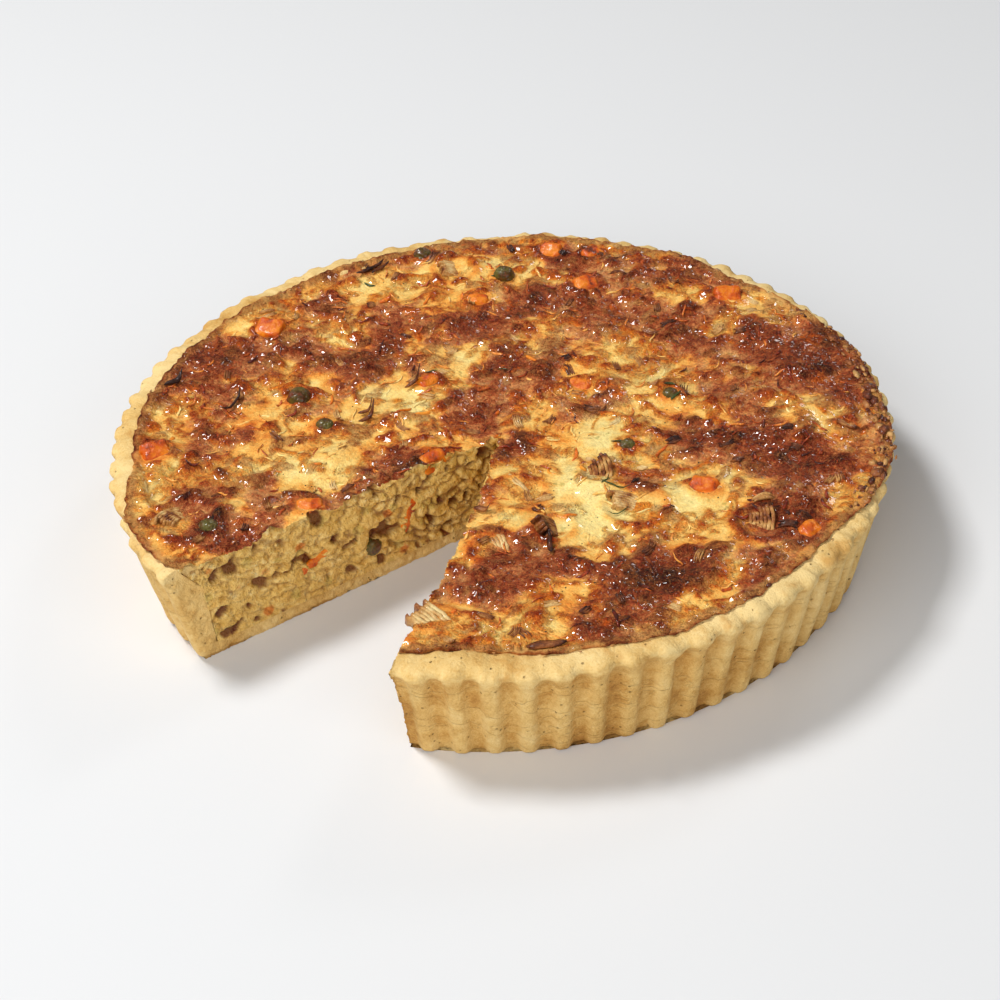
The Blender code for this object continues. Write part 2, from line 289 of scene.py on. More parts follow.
def smooth_share(value):
    """0 to 1 with level ends, for a number or an array."""
    value = np.clip(value, 0.0, 1.0)
    return value * value * (3.0 - 2.0 * value)


def soft_noise(x, y, spacing, seed):
    """Smooth noise from -1 to 1 at arrays of points, its bumps about this far apart."""
    lattice = np.random.default_rng(seed).uniform(-1, 1, (LATTICE, LATTICE))
    u, v = x / spacing + LATTICE / 2, y / spacing + LATTICE / 2
    column, row = np.floor(u).astype(int), np.floor(v).astype(int)
    across, along = smooth_share(u - column), smooth_share(v - row)
    column, row = column % LATTICE, row % LATTICE
    next_column, next_row = (column + 1) % LATTICE, (row + 1) % LATTICE
    low = lattice[row, column] * (1 - across) + lattice[row, next_column] * across
    high = lattice[next_row, column] * (1 - across) + lattice[next_row, next_column] * across
    return low * (1 - along) + high * along


def layered_noise(x, y, spacing, seed, octaves=3):
    total, weight = 0.0, 0.0
    for octave in range(octaves):
        share = 0.55**octave
        total = total + share * soft_noise(x, y, spacing / 2**octave, seed + octave)
        weight += share
    return total / weight


def blurred(field, radius):
    """The field with a Gaussian blur of this radius in metres."""
    across = np.fft.rfftfreq(field.shape[1], CELL)
    along = np.fft.fftfreq(field.shape[0], CELL)
    falloff = np.exp(-2 * (math.pi * radius) ** 2 * (across[None, :] ** 2 + along[:, None] ** 2))
    return np.fft.irfft2(np.fft.rfft2(field) * falloff, field.shape)


def from_camera_side(right, away, up):
    """A point given as seen from the camera: to its right, away from it, and up."""
    return Matrix.Rotation(CAMERA_TURN, 3, "Z") @ Vector((right, away, up))


# ---------------------------------------------------------------- relief of the top


def surface_height(x, y):
    """The model's baked top: level in the middle, lumpy, puffed up along one side, and meeting the rim."""
    radius = math.hypot(x, y)
    calm = smooth_share((FILLING_RADIUS - radius) / EDGE_CALM)
    to_edge = smooth_share((radius / FILLING_RADIUS) ** 2)
    lumps = LUMP_HEIGHT * noise.noise(Vector((x, y, 0.0)) / LUMP_SPACING)
    facing = max(math.cos(math.atan2(y, x) - PUFF_TURN), 0.0) ** 2
    puff = PUFF_HEIGHT * facing * math.exp(-(((radius - PUFF_RADIUS) / PUFF_SPREAD) ** 2))
    return FILLING_LEVEL + (EDGE_LEVEL - FILLING_LEVEL) * to_edge + calm * lumps + calm * puff


def sample(values, cell, x, y):
    """What a square raster centred on the origin holds at arrays of points."""
    column = np.clip(x / cell + (values.shape[1] - 1) / 2, 0, values.shape[1] - 1.001)
    row = np.clip(y / cell + (values.shape[0] - 1) / 2, 0, values.shape[0] - 1.001)
    left, low = column.astype(int), row.astype(int)
    across, along = column - left, row - low
    below = values[low, left] * (1 - across) + values[low, left + 1] * across
    above = values[low + 1, left] * (1 - across) + values[low + 1, left + 1] * across
    return below * (1 - along) + above * along


def cut_depth(x, y):
    """How far inside the missing portion arrays of points are; below zero is outside it."""
    dx, dy = x - CUT_TIP.x, y - CUT_TIP.y
    sine, cosine = math.sin(CUT_HALF_ANGLE), math.cos(CUT_HALF_ANGLE)
    share = np.clip((dx * sine - dy * cosine) / CUT_LENGTH, 0, 1)
    from_left = dx * cosine - dy * sine
    from_right = RIGHT_CUT_BOW * 4 * share * (1 - share) - (dx * cosine + dy * sine)
    return np.minimum(from_left, from_right)


def topping_places():
    """Middle and rough radius of each topping that shows in the top."""
    places = []
    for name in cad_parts:
        if name.startswith(("pea", "carrot", "leek")) and "stick" not in name:
            low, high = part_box(name)
            places.append((name, (low + high) / 2, max(high.x - low.x, high.y - low.y) / 2))
    return places


class TopField:
    """What the baked top is like at each point: its fine relief, browning, what lies there, and its gloss."""

    def __init__(self):
        axis = (np.arange(int(2 * FIELD_HALF / BASE_CELL)) + 0.5) * BASE_CELL - FIELD_HALF
        self.base = np.array([[surface_height(x, y) for x in axis] for y in axis])
        count = int(2 * FIELD_HALF / CELL)
        axis = (np.arange(count) - (count - 1) / 2) * CELL
        self.x, self.y = np.meshgrid(axis, axis)
        self.radius = np.hypot(self.x, self.y)
        self.height = np.zeros_like(self.x)
        self.carrot = np.zeros_like(self.x)
        self.leek = np.zeros_like(self.x)
        self.draws = np.random.default_rng(7)
        self.spread_patches()
        self.lay_vegetables()
        self.melt()
        self.seat_toppings()
        self.brown()

    def at(self, name, x, y):
        return sample(getattr(self, name), CELL, x, y)

    def top(self, x, y, name="height"):
        """Height of the baked top at arrays of points."""
        calm = 0.35 + 0.65 * smooth_share((FILLING_RADIUS + 0.001 - np.hypot(x, y)) / 0.006)
        return sample(self.base, BASE_CELL, x, y) + calm * self.at(name, x, y)

    def spread_patches(self):
        """Where the oven browned it more, and where custard stayed pale, with wandering outlines."""
        warp_x = self.x + 0.005 * layered_noise(self.x, self.y, 0.011, 70)
        warp_y = self.y + 0.005 * layered_noise(self.x, self.y, 0.011, 74)
        self.patches = np.zeros_like(self.x)
        for right, away, radius, strength in PATCHES:
            x, y, _ = from_camera_side(right, away, 0) / 1000
            from_patch = ((warp_x - x) ** 2 + (warp_y - y) ** 2) / (radius / 1000) ** 2
            self.patches += strength * np.exp(-(from_patch**1.3))
        self.broad = layered_noise(warp_x, warp_y, 0.017, 80)

    def lay(self, x, y, heading, half_length, half_width, thickness, bend, tilt, kind):
        """Lays one rounded piece on what is there already, along an arc, one end higher."""
        reach = half_length + half_width
        low_x, high_x = np.searchsorted(self.x[0], (x - reach, x + reach))
        low_y, high_y = np.searchsorted(self.y[:, 0], (y - reach, y + reach))
        if low_x >= high_x or low_y >= high_y:
            return
        here = (slice(low_y, high_y), slice(low_x, high_x))
        dx, dy = self.x[here] - x, self.y[here] - y
        along = dx * math.cos(heading) + dy * math.sin(heading)
        aside = dy * math.cos(heading) - dx * math.sin(heading) - bend * along**2
        past_end = np.maximum(np.abs(along) - (half_length - half_width), 0.0)
        inside = 1.0 - (aside**2 + past_end**2) / half_width**2
        under = self.height[here]
        rest = 0.62 * float(under[under.shape[0] // 2, under.shape[1] // 2])
        top = rest + tilt * along + thickness * np.sqrt(np.maximum(inside, 0.0))
        over = (inside > 0.0) & (top > under)
        under[over] = top[over]
        self.carrot[here][over] = kind == "carrot"
        self.leek[here][over] = kind == "leek"

    def lay_vegetables(self):
        """Chunks first, then shreds of cheese, carrot and leek over and between them."""
        draws = self.draws
        for _ in range(CHUNKS):
            radius, turn = FILLING_RADIUS * math.sqrt(draws.random()), draws.uniform(0, 2 * math.pi)
            length, thickness = draws.uniform(*CHUNK_LENGTH), draws.uniform(*CHUNK_THICKNESS)
            kind = draws.choice(["cheese", "carrot", "leek"], p=[0.62, 0.16, 0.22])
            self.lay(
                radius * math.cos(turn), radius * math.sin(turn), draws.uniform(0, math.pi),
                length, length * draws.uniform(0.6, 0.95), thickness, 0.0, draws.uniform(-0.2, 0.2), kind,
            )
        for _ in range(SHREDS):
            radius, turn = FILLING_RADIUS * math.sqrt(draws.random()), draws.uniform(0, 2 * math.pi)
            pick = draws.random()
            kind = "carrot" if pick < CARROT_SHARE else "leek" if pick < CARROT_SHARE + LEEK_SHARE else "cheese"
            x, y, heading = radius * math.cos(turn), radius * math.sin(turn), draws.uniform(0, math.pi)
            length, width = draws.uniform(*SHRED_LENGTH), draws.uniform(*SHRED_WIDTH)
            thickness, tilt = draws.uniform(*SHRED_THICKNESS), draws.normal(0, SHRED_TILT)
            bend = draws.normal(0, 60)
            strands = draws.integers(2, 5) if kind == "leek" else 1
            for strand in range(strands):
                step = strand * 1.5 * width
                self.lay(
                    x - step * math.sin(heading), y + step * math.cos(heading), heading,
                    length, width, thickness, bend, tilt, kind,
                )

    def melt(self):
        """Softens the heap, and floods its hollows with custard to a level that wanders."""
        self.height -= blurred(self.height, 0.006)
        pale = np.clip(-self.patches, 0, 1)
        self.skin = smooth_share(0.38 + 1.1 * self.broad + 1.0 * self.patches)
        soft = blurred(self.height, 0.0010)
        melted = smooth_share(0.55 + 1.1 * layered_noise(self.x, self.y, 0.014, 40) + 0.5 * pale + 0.3 * self.skin)
        self.height += (soft - self.height) * (0.30 + 0.60 * melted)
        self.height += 0.0012 * layered_noise(self.x, self.y, 0.0095, 44)
        warp_x = self.x + 0.0022 * layered_noise(self.x, self.y, 0.0060, 47)
        warp_y = self.y + 0.0022 * layered_noise(self.x, self.y, 0.0060, 49)
        blisters = np.abs(layered_noise(warp_x, warp_y, 0.0068, 42)) ** 0.8
        self.height += 0.0013 * (blisters - 0.35)
        mounds = np.abs(layered_noise(self.x + warp_y - self.y, self.y + warp_x - self.x, 0.0150, 52))
        self.height += 0.0024 * self.skin * (mounds - 0.25)
        flood = -0.0005 + 0.0006 * layered_noise(self.x, self.y, 0.016, 50) + 0.0010 * pale
        softness = 0.00018
        self.flooded = smooth_share(0.5 + (flood - self.height) / 0.0006)
        self.height = flood + softness * np.logaddexp(0.0, (self.height - flood) / softness)
        self.height += (blurred(self.height, 0.0006) - self.height) * (0.5 + 0.4 * pale)
        folds = 1 - 2 * np.abs(layered_noise(warp_x, warp_y, 0.0036, 60))
        wrinkles = 1 - 2 * np.abs(layered_noise(warp_x, warp_y, 0.0017, 64))
        self.height += (0.00014 + 0.00042 * self.skin) * folds + (0.00008 + 0.00028 * self.skin) * wrinkles
        self.pool = self.flooded * (1 - 0.7 * self.skin)
        shown = 1 - 0.8 * self.flooded
        self.carrot = blurred(self.carrot, 0.0003) * shown
        self.leek = blurred(self.leek, 0.0003) * shown

    def seat_toppings(self):
        """Custard climbs a little round each larger piece, and its own relief stays out of the way there."""
        for name, middle, radius in topping_places():
            distance = np.hypot(self.x - middle.x, self.y - middle.y)
            near = smooth_share((radius * 1.15 - distance) / (radius * 0.5))
            ring = np.exp(-(((distance - radius * 1.05) / 0.0022) ** 2))
            self.height = self.height * (1 - near) + 0.0002 * near + 0.0010 * ring
            self.patches += 0.25 * ring

    def brown(self):
        """Browning from 0, raw, to 1, burnt: broad patches, skins, and the peaks of the relief."""
        self.peak = self.height - blurred(self.height, 0.0022)
        mound = blurred(self.height, 0.0012) - blurred(self.height, 0.0060)
        fine = layered_noise(self.x, self.y, 0.0055, 84)
        from_edge = filling_outline(np.arctan2(self.y, self.x)) - self.radius
        edge = smooth_share((0.0055 - from_edge) / 0.0045)
        rim_line = smooth_share((0.0012 - from_edge) / 0.0008) * smooth_share(
            0.6 + 1.4 * layered_noise(self.x, self.y, 0.005, 92)
        )
        wander = layered_noise(self.x, self.y, 0.007, 88)
        self.edge = smooth_share(edge * (1.2 + 0.9 * wander) - 0.1) * 0.85
        value = 0.49 + 0.33 * self.patches + 0.18 * self.broad + 0.16 * fine + 210 * self.peak + 75 * mound
        value -= 0.12 * self.flooded * (1 - self.skin)
        value = value - 0.5 * np.maximum(value - 0.72, 0)
        self.browning = np.clip(value * (1 - 0.3 * edge) + 0.14 * edge + 0.26 * rim_line, 0.02, 1.0)
        # Painted shade: how far each point lies below the blurred relief, less in the custard pools
        self.crevice_shade = smooth_share((blurred(self.height, 0.0012) - self.height) / 0.0005) * (1 - 0.8 * self.pool)
        self.oil = smooth_share(0.76 + 1.3 * layered_noise(self.x, self.y, 0.009, 90)) * (1 - 0.9 * edge)
        self.relaxed = blurred(self.height, 0.0008)


# ---------------------------------------------------------------- meshes


def coordinates(mesh):
    values = np.empty(len(mesh.vertices) * 3)
    mesh.vertices.foreach_get("co", values)
    return values.reshape(-1, 3)


def make_piece(name, source, replaces=()):
    """A piece of the object from a bmesh, riding on its body, standing for these model nodes."""
    mesh = bpy.data.meshes.new(name)
    for face in source.faces:
        face.smooth = True
    source.to_mesh(mesh)
    source.free()
    piece = bpy.data.objects.new(name, mesh)
    bpy.context.scene.collection.objects.link(piece)
    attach(piece, BODY)
    if replaces:
        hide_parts(*replaces)
    return piece


def cut_line(side):
    """Points of one cut from the tip outwards: side -1 is straight, side 1 bows out."""
    heading = Vector((math.sin(CUT_HALF_ANGLE) * side, -math.cos(CUT_HALF_ANGLE)))
    outwards = Vector((math.cos(CUT_HALF_ANGLE) * side, math.sin(CUT_HALF_ANGLE)))
    bow = RIGHT_CUT_BOW if side > 0 else 0.0
    points = []
    for step in range(CUT_STEPS + 1):
        share = step / CUT_STEPS
        lift = bow * 4.0 * share * (1.0 - share)
        points.append(CUT_TIP + heading * CUT_LENGTH * share + outwards * lift)
    return points


def cut_portion_out(source):
    """The bmesh with the missing portion taken out of it by a Boolean."""
    outline = cut_line(-1) + list(reversed(cut_line(1)[1:]))
    wedge = bmesh.new()
    face = wedge.faces.new([wedge.verts.new((point.x, point.y, -CUT_MARGIN)) for point in outline])
    risen = bmesh.ops.extrude_face_region(wedge, geom=[face])
    top = [item for item in risen["geom"] if isinstance(item, bmesh.types.BMVert)]
    bmesh.ops.translate(wedge, verts=top, vec=(0, 0, SHELL_HEIGHT + 2 * CUT_MARGIN))
    bmesh.ops.recalc_face_normals(wedge, faces=wedge.faces)
    objects = []
    for bm in (source, wedge):
        mesh = bpy.data.meshes.new("whole")
        bm.to_mesh(mesh)
        bm.free()
        objects.append(bpy.data.objects.new("whole", mesh))
        bpy.context.scene.collection.objects.link(objects[-1])
    whole, cutter = objects
    modifier = whole.modifiers.new("cut", "BOOLEAN")
    modifier.operation = "DIFFERENCE"
    modifier.solver = "EXACT"
    modifier.object = cutter
    bpy.context.view_layer.update()
    graph = bpy.context.evaluated_depsgraph_get()
    result = bmesh.new()
    result.from_object(whole, graph)
    for obj in objects:
        bpy.data.meshes.remove(obj.data)
    return result


def cut_strips():
    """Each straight strip of the two cuts: start, heading, length and the direction it faces."""
    strips = []
    for side in (-1, 1):
        line = cut_line(side)
        for start, end in zip(line, line[1:]):
            heading = (end - start).normalized()
            facing = Vector((-heading.y, heading.x)) if side < 0 else Vector((heading.y, -heading.x))
            strips.append((start, heading, (end - start).length, facing))
    return strips


def on_cut(face, strips):
    """The direction out of the cut that a face lies in, or None."""
    if abs(face.normal.z) > 0.02:
        return None
    middle = face.calc_center_median().xy
    for start, heading, length, facing in strips:
        offset = middle - start
        if abs(offset.dot(facing)) < 2e-5 and -1e-4 < offset.dot(heading) < length + 1e-4:
            return facing
    return None


def grid_cuts(bm, cell):
    """Divides the faces of the cuts into cells of this size; returns each vertex on them and its way out."""
    strips = cut_strips()
    region = [face for face in bm.faces if on_cut(face, strips)]
    spots = np.array([vert.co for face in region for vert in face.verts])
    planes = []
    for axis, top in ((Vector((0, 1, 0)), CUT_TIP.y), (Vector((0, 0, 1)), SHELL_HEIGHT)):
        along = spots @ np.array(axis)
        steps = top - cell * np.arange(1, CUT_LENGTH / cell)
        planes += [(axis * step, axis) for step in steps if along.min() < step < along.max()]
    for point, normal in planes:
        edges = {edge for face in region for edge in face.edges}
        verts = {vert for edge in edges for vert in edge.verts}
        parts = bmesh.ops.bisect_plane(
            bm, geom=[*verts, *edges, *region], dist=1e-6, plane_co=point, plane_no=normal
        )
        region = [item for item in parts["geom"] if isinstance(item, bmesh.types.BMFace)]
    ways_out = {}
    for face in region:
        face.material_index = 1
        facing = on_cut(face, strips)
        if facing:
            ways_out.update((vert, facing) for vert in face.verts)
    return ways_out


def filling_outline(turn):
    """How far the baked edge of the filling reaches over the pastry in each direction."""
    place = turn * FILLING_RADIUS
    directions, reaches = np.array(REACH).T
    reach = np.interp(np.degrees(turn), directions, reaches) / 1000
    return reach + 0.0007 * soft_noise(place, 0 * turn, 0.0020, 11) + 0.0006 * soft_noise(place, 0 * turn, 0.006, 12)


def rim_wave(turn):
    """How the pastry rim rises and falls on its way round."""
    x, y = RIM_RADIUS * np.cos(turn), RIM_RADIUS * np.sin(turn)
    return 0.0007 * soft_noise(x, y, 0.020, 21) + 0.0007 * soft_noise(x, y, 0.0062, 22) + 0.0003 * soft_noise(x, y, 0.0021, 23)


def disc_place(u, v):
    """A point of the square from -1 to 1 moved to the disc, keeping areas even: radius and direction."""
    radius = np.maximum(np.abs(u), np.abs(v))
    steep = np.abs(v) > np.abs(u)
    share = np.where(steep, u, v) / np.where(radius > 0, np.where(steep, v, u), 1.0)
    turn = np.where(steep, math.pi / 2 - share * math.pi / 4, share * math.pi / 4)
    turn = turn + np.where(np.where(steep, v, u) < 0, math.pi, 0.0)
    return radius, (turn + math.pi) % (2 * math.pi) - math.pi


def top_places(field, u, v):
    """Points of the baked top for points of the square that its disc is drawn from."""
    share, turn = disc_place(u, v)
    radius = share * (FILLING_RADIUS + (filling_outline(turn) - FILLING_RADIUS) * smooth_share(4 * share - 3))
    x, y = radius * np.cos(turn), radius * np.sin(turn)
    z = field.top(x, y)
    over_rim = smooth_share((radius - FILLING_RADIUS + RIM_LAP) / 0.003)
    z += over_rim * (np.maximum(z, SHELL_HEIGHT + 0.0006 + rim_wave(turn)) - z)
    z += over_rim * 0.0005 * soft_noise(turn * FILLING_RADIUS, radius, 0.0018, 14)
    return np.stack([x, y, z], axis=1)


def top_slab(field, column, row):
    """One tile of the baked top as a closed slab, before the portion is cut out."""
    columns, rows = TOP_TILES
    bm = bmesh.new()
    bmesh.ops.create_grid(bm, x_segments=TOP_SEGMENTS // columns, y_segments=TOP_SEGMENTS // rows, size=1)
    spots = np.array([vert.co.xy for vert in bm.verts])
    u, v = (spots[:, 0] + 1 + 2 * column) / columns - 1, (spots[:, 1] + 1 + 2 * row) / rows - 1
    for vert, place in zip(bm.verts, top_places(field, u, v).tolist()):
        vert.co = place
    border = [edge for edge in bm.edges if edge.is_boundary]
    risen = bmesh.ops.extrude_edge_only(bm, edges=border)
    for edge in border:
        edge.smooth = False
    inner = BODY_RADIUS - 0.004
    for vert in {item for item in risen["geom"] if isinstance(item, bmesh.types.BMVert)}:
        radius = vert.co.xy.length
        if radius > inner:
            edge = float(filling_outline(np.arctan2(vert.co.y, vert.co.x)))
            vert.co.xy *= (inner + (radius - inner) * (BODY_RADIUS - inner) / (edge - inner)) / radius
        vert.co.z = SLAB_LOW
    bmesh.ops.contextual_create(bm, geom=[edge for edge in bm.edges if edge.is_boundary])
    bmesh.ops.recalc_face_normals(bm, faces=bm.faces)
    return bm


def make_top(field):
    """The baked top of the filling, as slabs side by side, with the portion cut out of them."""
    pieces = []
    for column in range(TOP_TILES[0]):
        for row in range(TOP_TILES[1]):
            bm = top_slab(field, column, row)
            spots = np.array([vert.co.xy for vert in bm.verts])
            if cut_depth(spots[:, 0], spots[:, 1]).max() > 0:
                bm = cut_portion_out(bm)
                curdle(bm, 1)
            piece = make_piece(f"baked_top_{len(pieces) + 1}", bm)
            spots = coordinates(piece.data)
            for name in TOP_PAINT:
                paint(piece, name, field.at(name, spots[:, 0], spots[:, 1]))
            pieces.append(piece)
    return pieces


def make_filling():
    """The body of the filling under its baked top, with the portion cut out and the cut faces curdled."""
    bm = bmesh.new()
    low = FLOOR_HEIGHT - 0.0004
    bmesh.ops.create_cone(
        bm, cap_ends=True, segments=192, radius1=BASE_RADIUS - WALL_THICKNESS, radius2=BODY_RADIUS,
        depth=BODY_TOP - low,
    )
    bmesh.ops.translate(bm, verts=bm.verts, vec=(0, 0, (BODY_TOP + low) / 2))
    bm = cut_portion_out(bm)
    curdle(bm, -1)
    return make_piece("baked_filling", bm, replaces=["filling"])


def behind_cut(place, strips):
    """The nearest point of the cut to a place, the way out of the cut there, and the distance."""
    best = None
    for start, heading, length, facing in strips:
        offset = place.xy - start
        along = min(max(offset.dot(heading), 0.0), length)
        distance = (offset - heading * along).length
        if best is None or distance < best[2]:
            best = (Vector((*(start + heading * along), place.z)), facing, distance)
    return best


def curdle(bm, side):
    """Breaks the cut faces into curds and draws what is just behind them along; side 1 is above the seam."""
    hollow_shade = bm.verts.layers.float.new("hollow_shade")
    faces_out = grid_cuts(bm, CUT_CELL)
    bmesh.ops.triangulate(bm, faces=[face for face in bm.faces if len(face.verts) > 100])
    for vert, facing in faces_out.items():
        lump, depth = curd_relief(vert.co)
        # How deep the gap between curds is here; the material darkens it as painted shade
        vert[hollow_shade] = depth
        past_seam = max(side * (SEAM - vert.co.z), 0.0)
        hidden_end = past_seam > abs(SEAM - (SLAB_LOW if side > 0 else BODY_TOP)) - 1e-5
        vert.co.xy += facing * (-0.0025 if hidden_end else lump - 0.5 * past_seam)
        if vert.co.z > FLOOR_HEIGHT + 0.002:
            vert.co.z += 0.0005 * noise.noise(vert.co * 620)
    if side < 0:
        return
    strips = cut_strips()
    verts = [vert for vert in bm.verts if vert not in faces_out]
    spots = np.array([vert.co.xy for vert in verts])
    near = cut_depth(spots[:, 0], spots[:, 1]) > -CUT_PULL
    for index in np.nonzero(near)[0]:
        vert = verts[index]
        on_face, facing, distance = behind_cut(vert.co, strips)
        pull = float(smooth_share(1 - distance / CUT_PULL))
        vert.co.xy += facing * curd_relief(on_face)[0] * pull


def curd_relief(place):
    """How far the cut custard stands out at a point, and how deep in a gap between curds it is from 0 to 1, for painted
    shade.
    """
    from_tip = (place.xy - CUT_TIP).length
    lumpy = 0.55 + 0.45 * float(smooth_share(1.4 - from_tip / 0.06)) + 0.35 * noise.noise(place * 55)
    torn = Vector((place.x, place.y, place.z * 1.5)) + 0.0030 * noise.noise_vector(place * 150)
    curd = min(abs(noise.noise(torn * 185 + Vector((3, 1, 2)))) * 3.2, 1.0)
    crumb = min(abs(noise.noise(torn * 520)) * 3.0, 1.0)
    pit = float(smooth_share((noise.noise(place * 210 + Vector((9, 4, 0))) - 0.28) * 5))
    edges = float(smooth_share((place.z - FLOOR_HEIGHT) / 0.003))
    wave = noise.noise(place * 90)
    lump = 0.0013 * (curd - 0.7) * lumpy + 0.0005 * (crumb - 0.6) + 0.0014 * wave * lumpy - 0.0026 * pit * lumpy
    return lump * edges, min(max(1 - curd * 2.2, 0.0) * 0.9 * lumpy + 0.9 * pit, 1.0)


def paint(piece, name, values):
    """One number for each vertex, which the piece's material reads."""
    layer = piece.data.attributes.new(name, "FLOAT", "POINT")
    layer.data.foreach_set("value", np.asarray(values, dtype=np.float32))


def outer_radius(height):
    """The wall's radius on a ridge: a straight flare, steeper in the band under the rim."""
    if height <= FLUTE_TOP_HEIGHT:
        return BASE_RADIUS + (FLUTE_TOP_RADIUS - BASE_RADIUS) * height / FLUTE_TOP_HEIGHT
    share = (height - FLUTE_TOP_HEIGHT) / (SHELL_HEIGHT - FLUTE_TOP_HEIGHT)
    return FLUTE_TOP_RADIUS + (RIM_RADIUS - FLUTE_TOP_RADIUS) * float(smooth_share(share))


def flute_groove(turn):
    """0 on a flute's ridge and 1 in the middle of the groove beside it, both well rounded."""
    across = (turn * FLUTES / (2 * math.pi)) % 1.0
    wave = 0.5 - 0.5 * math.cos(2 * math.pi * across)
    return float(smooth_share(1.2 * wave - 0.08))


def flute_share(height, groove):
    """How much of the flute's depth the wall has at a height: each groove ends in an arch under the rim."""
    arch = ARCH_TOP - ARCH_RISE * (1.0 - groove)
    fade = float(smooth_share((height - arch) / ARCH_FADE))
    return 1.0 - (1.0 - RIM_SCALLOP_SHARE) * fade


def shell_profile():
    """Radius and height from the middle of the underside round the wall and the rim to the inner floor."""
    points = [(0.0, 0.0), (BASE_RADIUS * 0.5, 0.0)]
    for step in range(5):
        turn = step / 4 * math.pi / 2
        points.append(
            (BASE_RADIUS - BASE_ROUNDING * (1 - math.sin(turn)), BASE_ROUNDING * (1 - math.cos(turn)))
        )
    band_top = SHELL_HEIGHT - 0.0026
    for step in range(1, OUTER_ROWS + 1):
        height = BASE_ROUNDING + (band_top - BASE_ROUNDING) * step / OUTER_ROWS
        points.append((outer_radius(height), height))
    start, end = outer_radius(band_top), FILLING_RADIUS - RIM_LAP
    middle, half = (start + end) / 2, (start - end) / 2
    for step in range(1, RIM_ROWS + 1):
        turn = step / RIM_ROWS * math.pi
        height = band_top + (SHELL_HEIGHT - band_top) * math.sin(turn) ** 0.7
        points.append((middle + half * math.cos(turn), height))
    points.append((end - 0.0004, band_top - 0.004))
    points.append((BASE_RADIUS - WALL_THICKNESS + 0.0003, BASE_THICKNESS + 0.0003))
    points.append((BASE_RADIUS * 0.5, BASE_THICKNESS))
    points.append((0.0, BASE_THICKNESS))
    return points


def make_shell():
    """The fluted shortcrust shell, its flutes pressed in and its rim left uneven."""
    bm = bmesh.new()
    points = [bm.verts.new((radius, 0.0, height)) for radius, height in shell_profile()]
    edges = [bm.edges.new(pair) for pair in zip(points, points[1:])]
    bmesh.ops.spin(
        bm, geom=points + edges, cent=(0, 0, 0), axis=(0, 0, 1), angle=2 * math.pi,
        steps=FLUTES * STEPS_PER_FLUTE, use_merge=True,
    )
    bmesh.ops.remove_doubles(bm, verts=bm.verts, dist=1e-6)
    bmesh.ops.recalc_face_normals(bm, faces=bm.faces)
    groove_tan_and_shade = bm.verts.layers.float.new("groove")
    waves = rim_wave(np.array([math.atan2(vert.co.y, vert.co.x) for vert in bm.verts]))
    for vert, wave in zip(bm.verts, waves.tolist()):
        radius, height = vert.co.xy.length, vert.co.z
        turn = math.atan2(vert.co.y, vert.co.x)
        if radius > outer_radius(height) - 2 * BASE_ROUNDING and height > 0.0001:
            groove = flute_groove(turn)
            share = flute_share(height, groove) * groove
            # How deep the groove is here; the material darkens it, partly as tan and partly as painted shade
            vert[groove_tan_and_shade] = max(share - RIM_SCALLOP_SHARE, 0.0) / (1 - RIM_SCALLOP_SHARE)
            wander = 0.0006 * noise.noise(vert.co * 45) + 0.00018 * noise.noise(vert.co * 150)
            vert.co.xy *= 1.0 + (wander - FLUTE_DEPTH * share) / radius
        if height > FLUTE_TOP_HEIGHT:
            share = float(smooth_share((height - FLUTE_TOP_HEIGHT) / (SHELL_HEIGHT - FLUTE_TOP_HEIGHT)))
            around = Vector((math.cos(turn), math.sin(turn), 0.0))
            outer = float(smooth_share((radius - FILLING_RADIUS) / (RIM_RADIUS - FILLING_RADIUS)))
            vert.co.z += share * (wave - RIM_DIP * outer * flute_groove(turn))
            vert.co.xy *= 1.0 + share * 0.0011 * noise.noise(around * 26 + Vector((5, 0, 0))) / radius
    bm = cut_portion_out(bm)
    for vert, facing in grid_cuts(bm, CUT_CELL).items():
        crumbs = noise.noise(vert.co * 420) + 0.7 * noise.noise(vert.co * 1100)
        vert.co.xy += facing * (0.0006 * crumbs - 0.0004)
    return make_piece("pastry_shell", bm, replaces=["crust"])


# ---------------------------------------------------------------- toppings


def make_pea(name, number):
    """A wrinkled baked pea, dimpled on top."""
    low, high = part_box(name)
    bm = bmesh.new()
    bmesh.ops.create_icosphere(bm, subdivisions=5, radius=0.5)
    seed = Vector((number * 3.1, 0, 0))
    for vert in bm.verts:
        crease = abs(noise.noise(vert.co * 2.4 + seed * 2))
        dimple = 0.18 * math.exp(-(((vert.co.xy - Vector((0.06, 0.04))).length / 0.15) ** 2))
        swell = 1.04 + 0.05 * noise.noise(vert.co * 3 + seed) - 0.10 * max(0.12 - crease, 0) / 0.12
        vert.co *= swell - (dimple if vert.co.z > 0 else 0.0)
    bmesh.ops.scale(bm, verts=bm.verts, vec=high - low)
    bmesh.ops.translate(bm, verts=bm.verts, vec=(low + high) / 2)
    return make_piece("baked_" + name, bm, replaces=[name])


def make_carrot(name, number):
    """The model's own cut block with worn edges and a shrunken, uneven surface."""
    bm = bmesh.new()
    bm.from_mesh(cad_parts[name].data)
    bmesh.ops.remove_doubles(bm, verts=bm.verts, dist=1e-5)
    for _ in range(3):
        bmesh.ops.subdivide_edges(bm, edges=bm.edges, cuts=1, use_grid_fill=True)
        bmesh.ops.smooth_vert(bm, verts=bm.verts, factor=0.4, use_axis_x=True, use_axis_y=True, use_axis_z=True)
    middle = sum((vert.co for vert in bm.verts), Vector()) / len(bm.verts)
    bmesh.ops.recalc_face_normals(bm, faces=bm.faces)
    seed = Vector((number * 1.7, 0, 0))
    for vert in bm.verts:
        dent = 0.0006 * noise.noise(vert.co * 260 + seed) + 0.0003 * noise.noise(vert.co * 700 + seed)
        vert.co += (vert.co - middle).normalized() * dent
    return make_piece("baked_" + name, bm, replaces=[name])


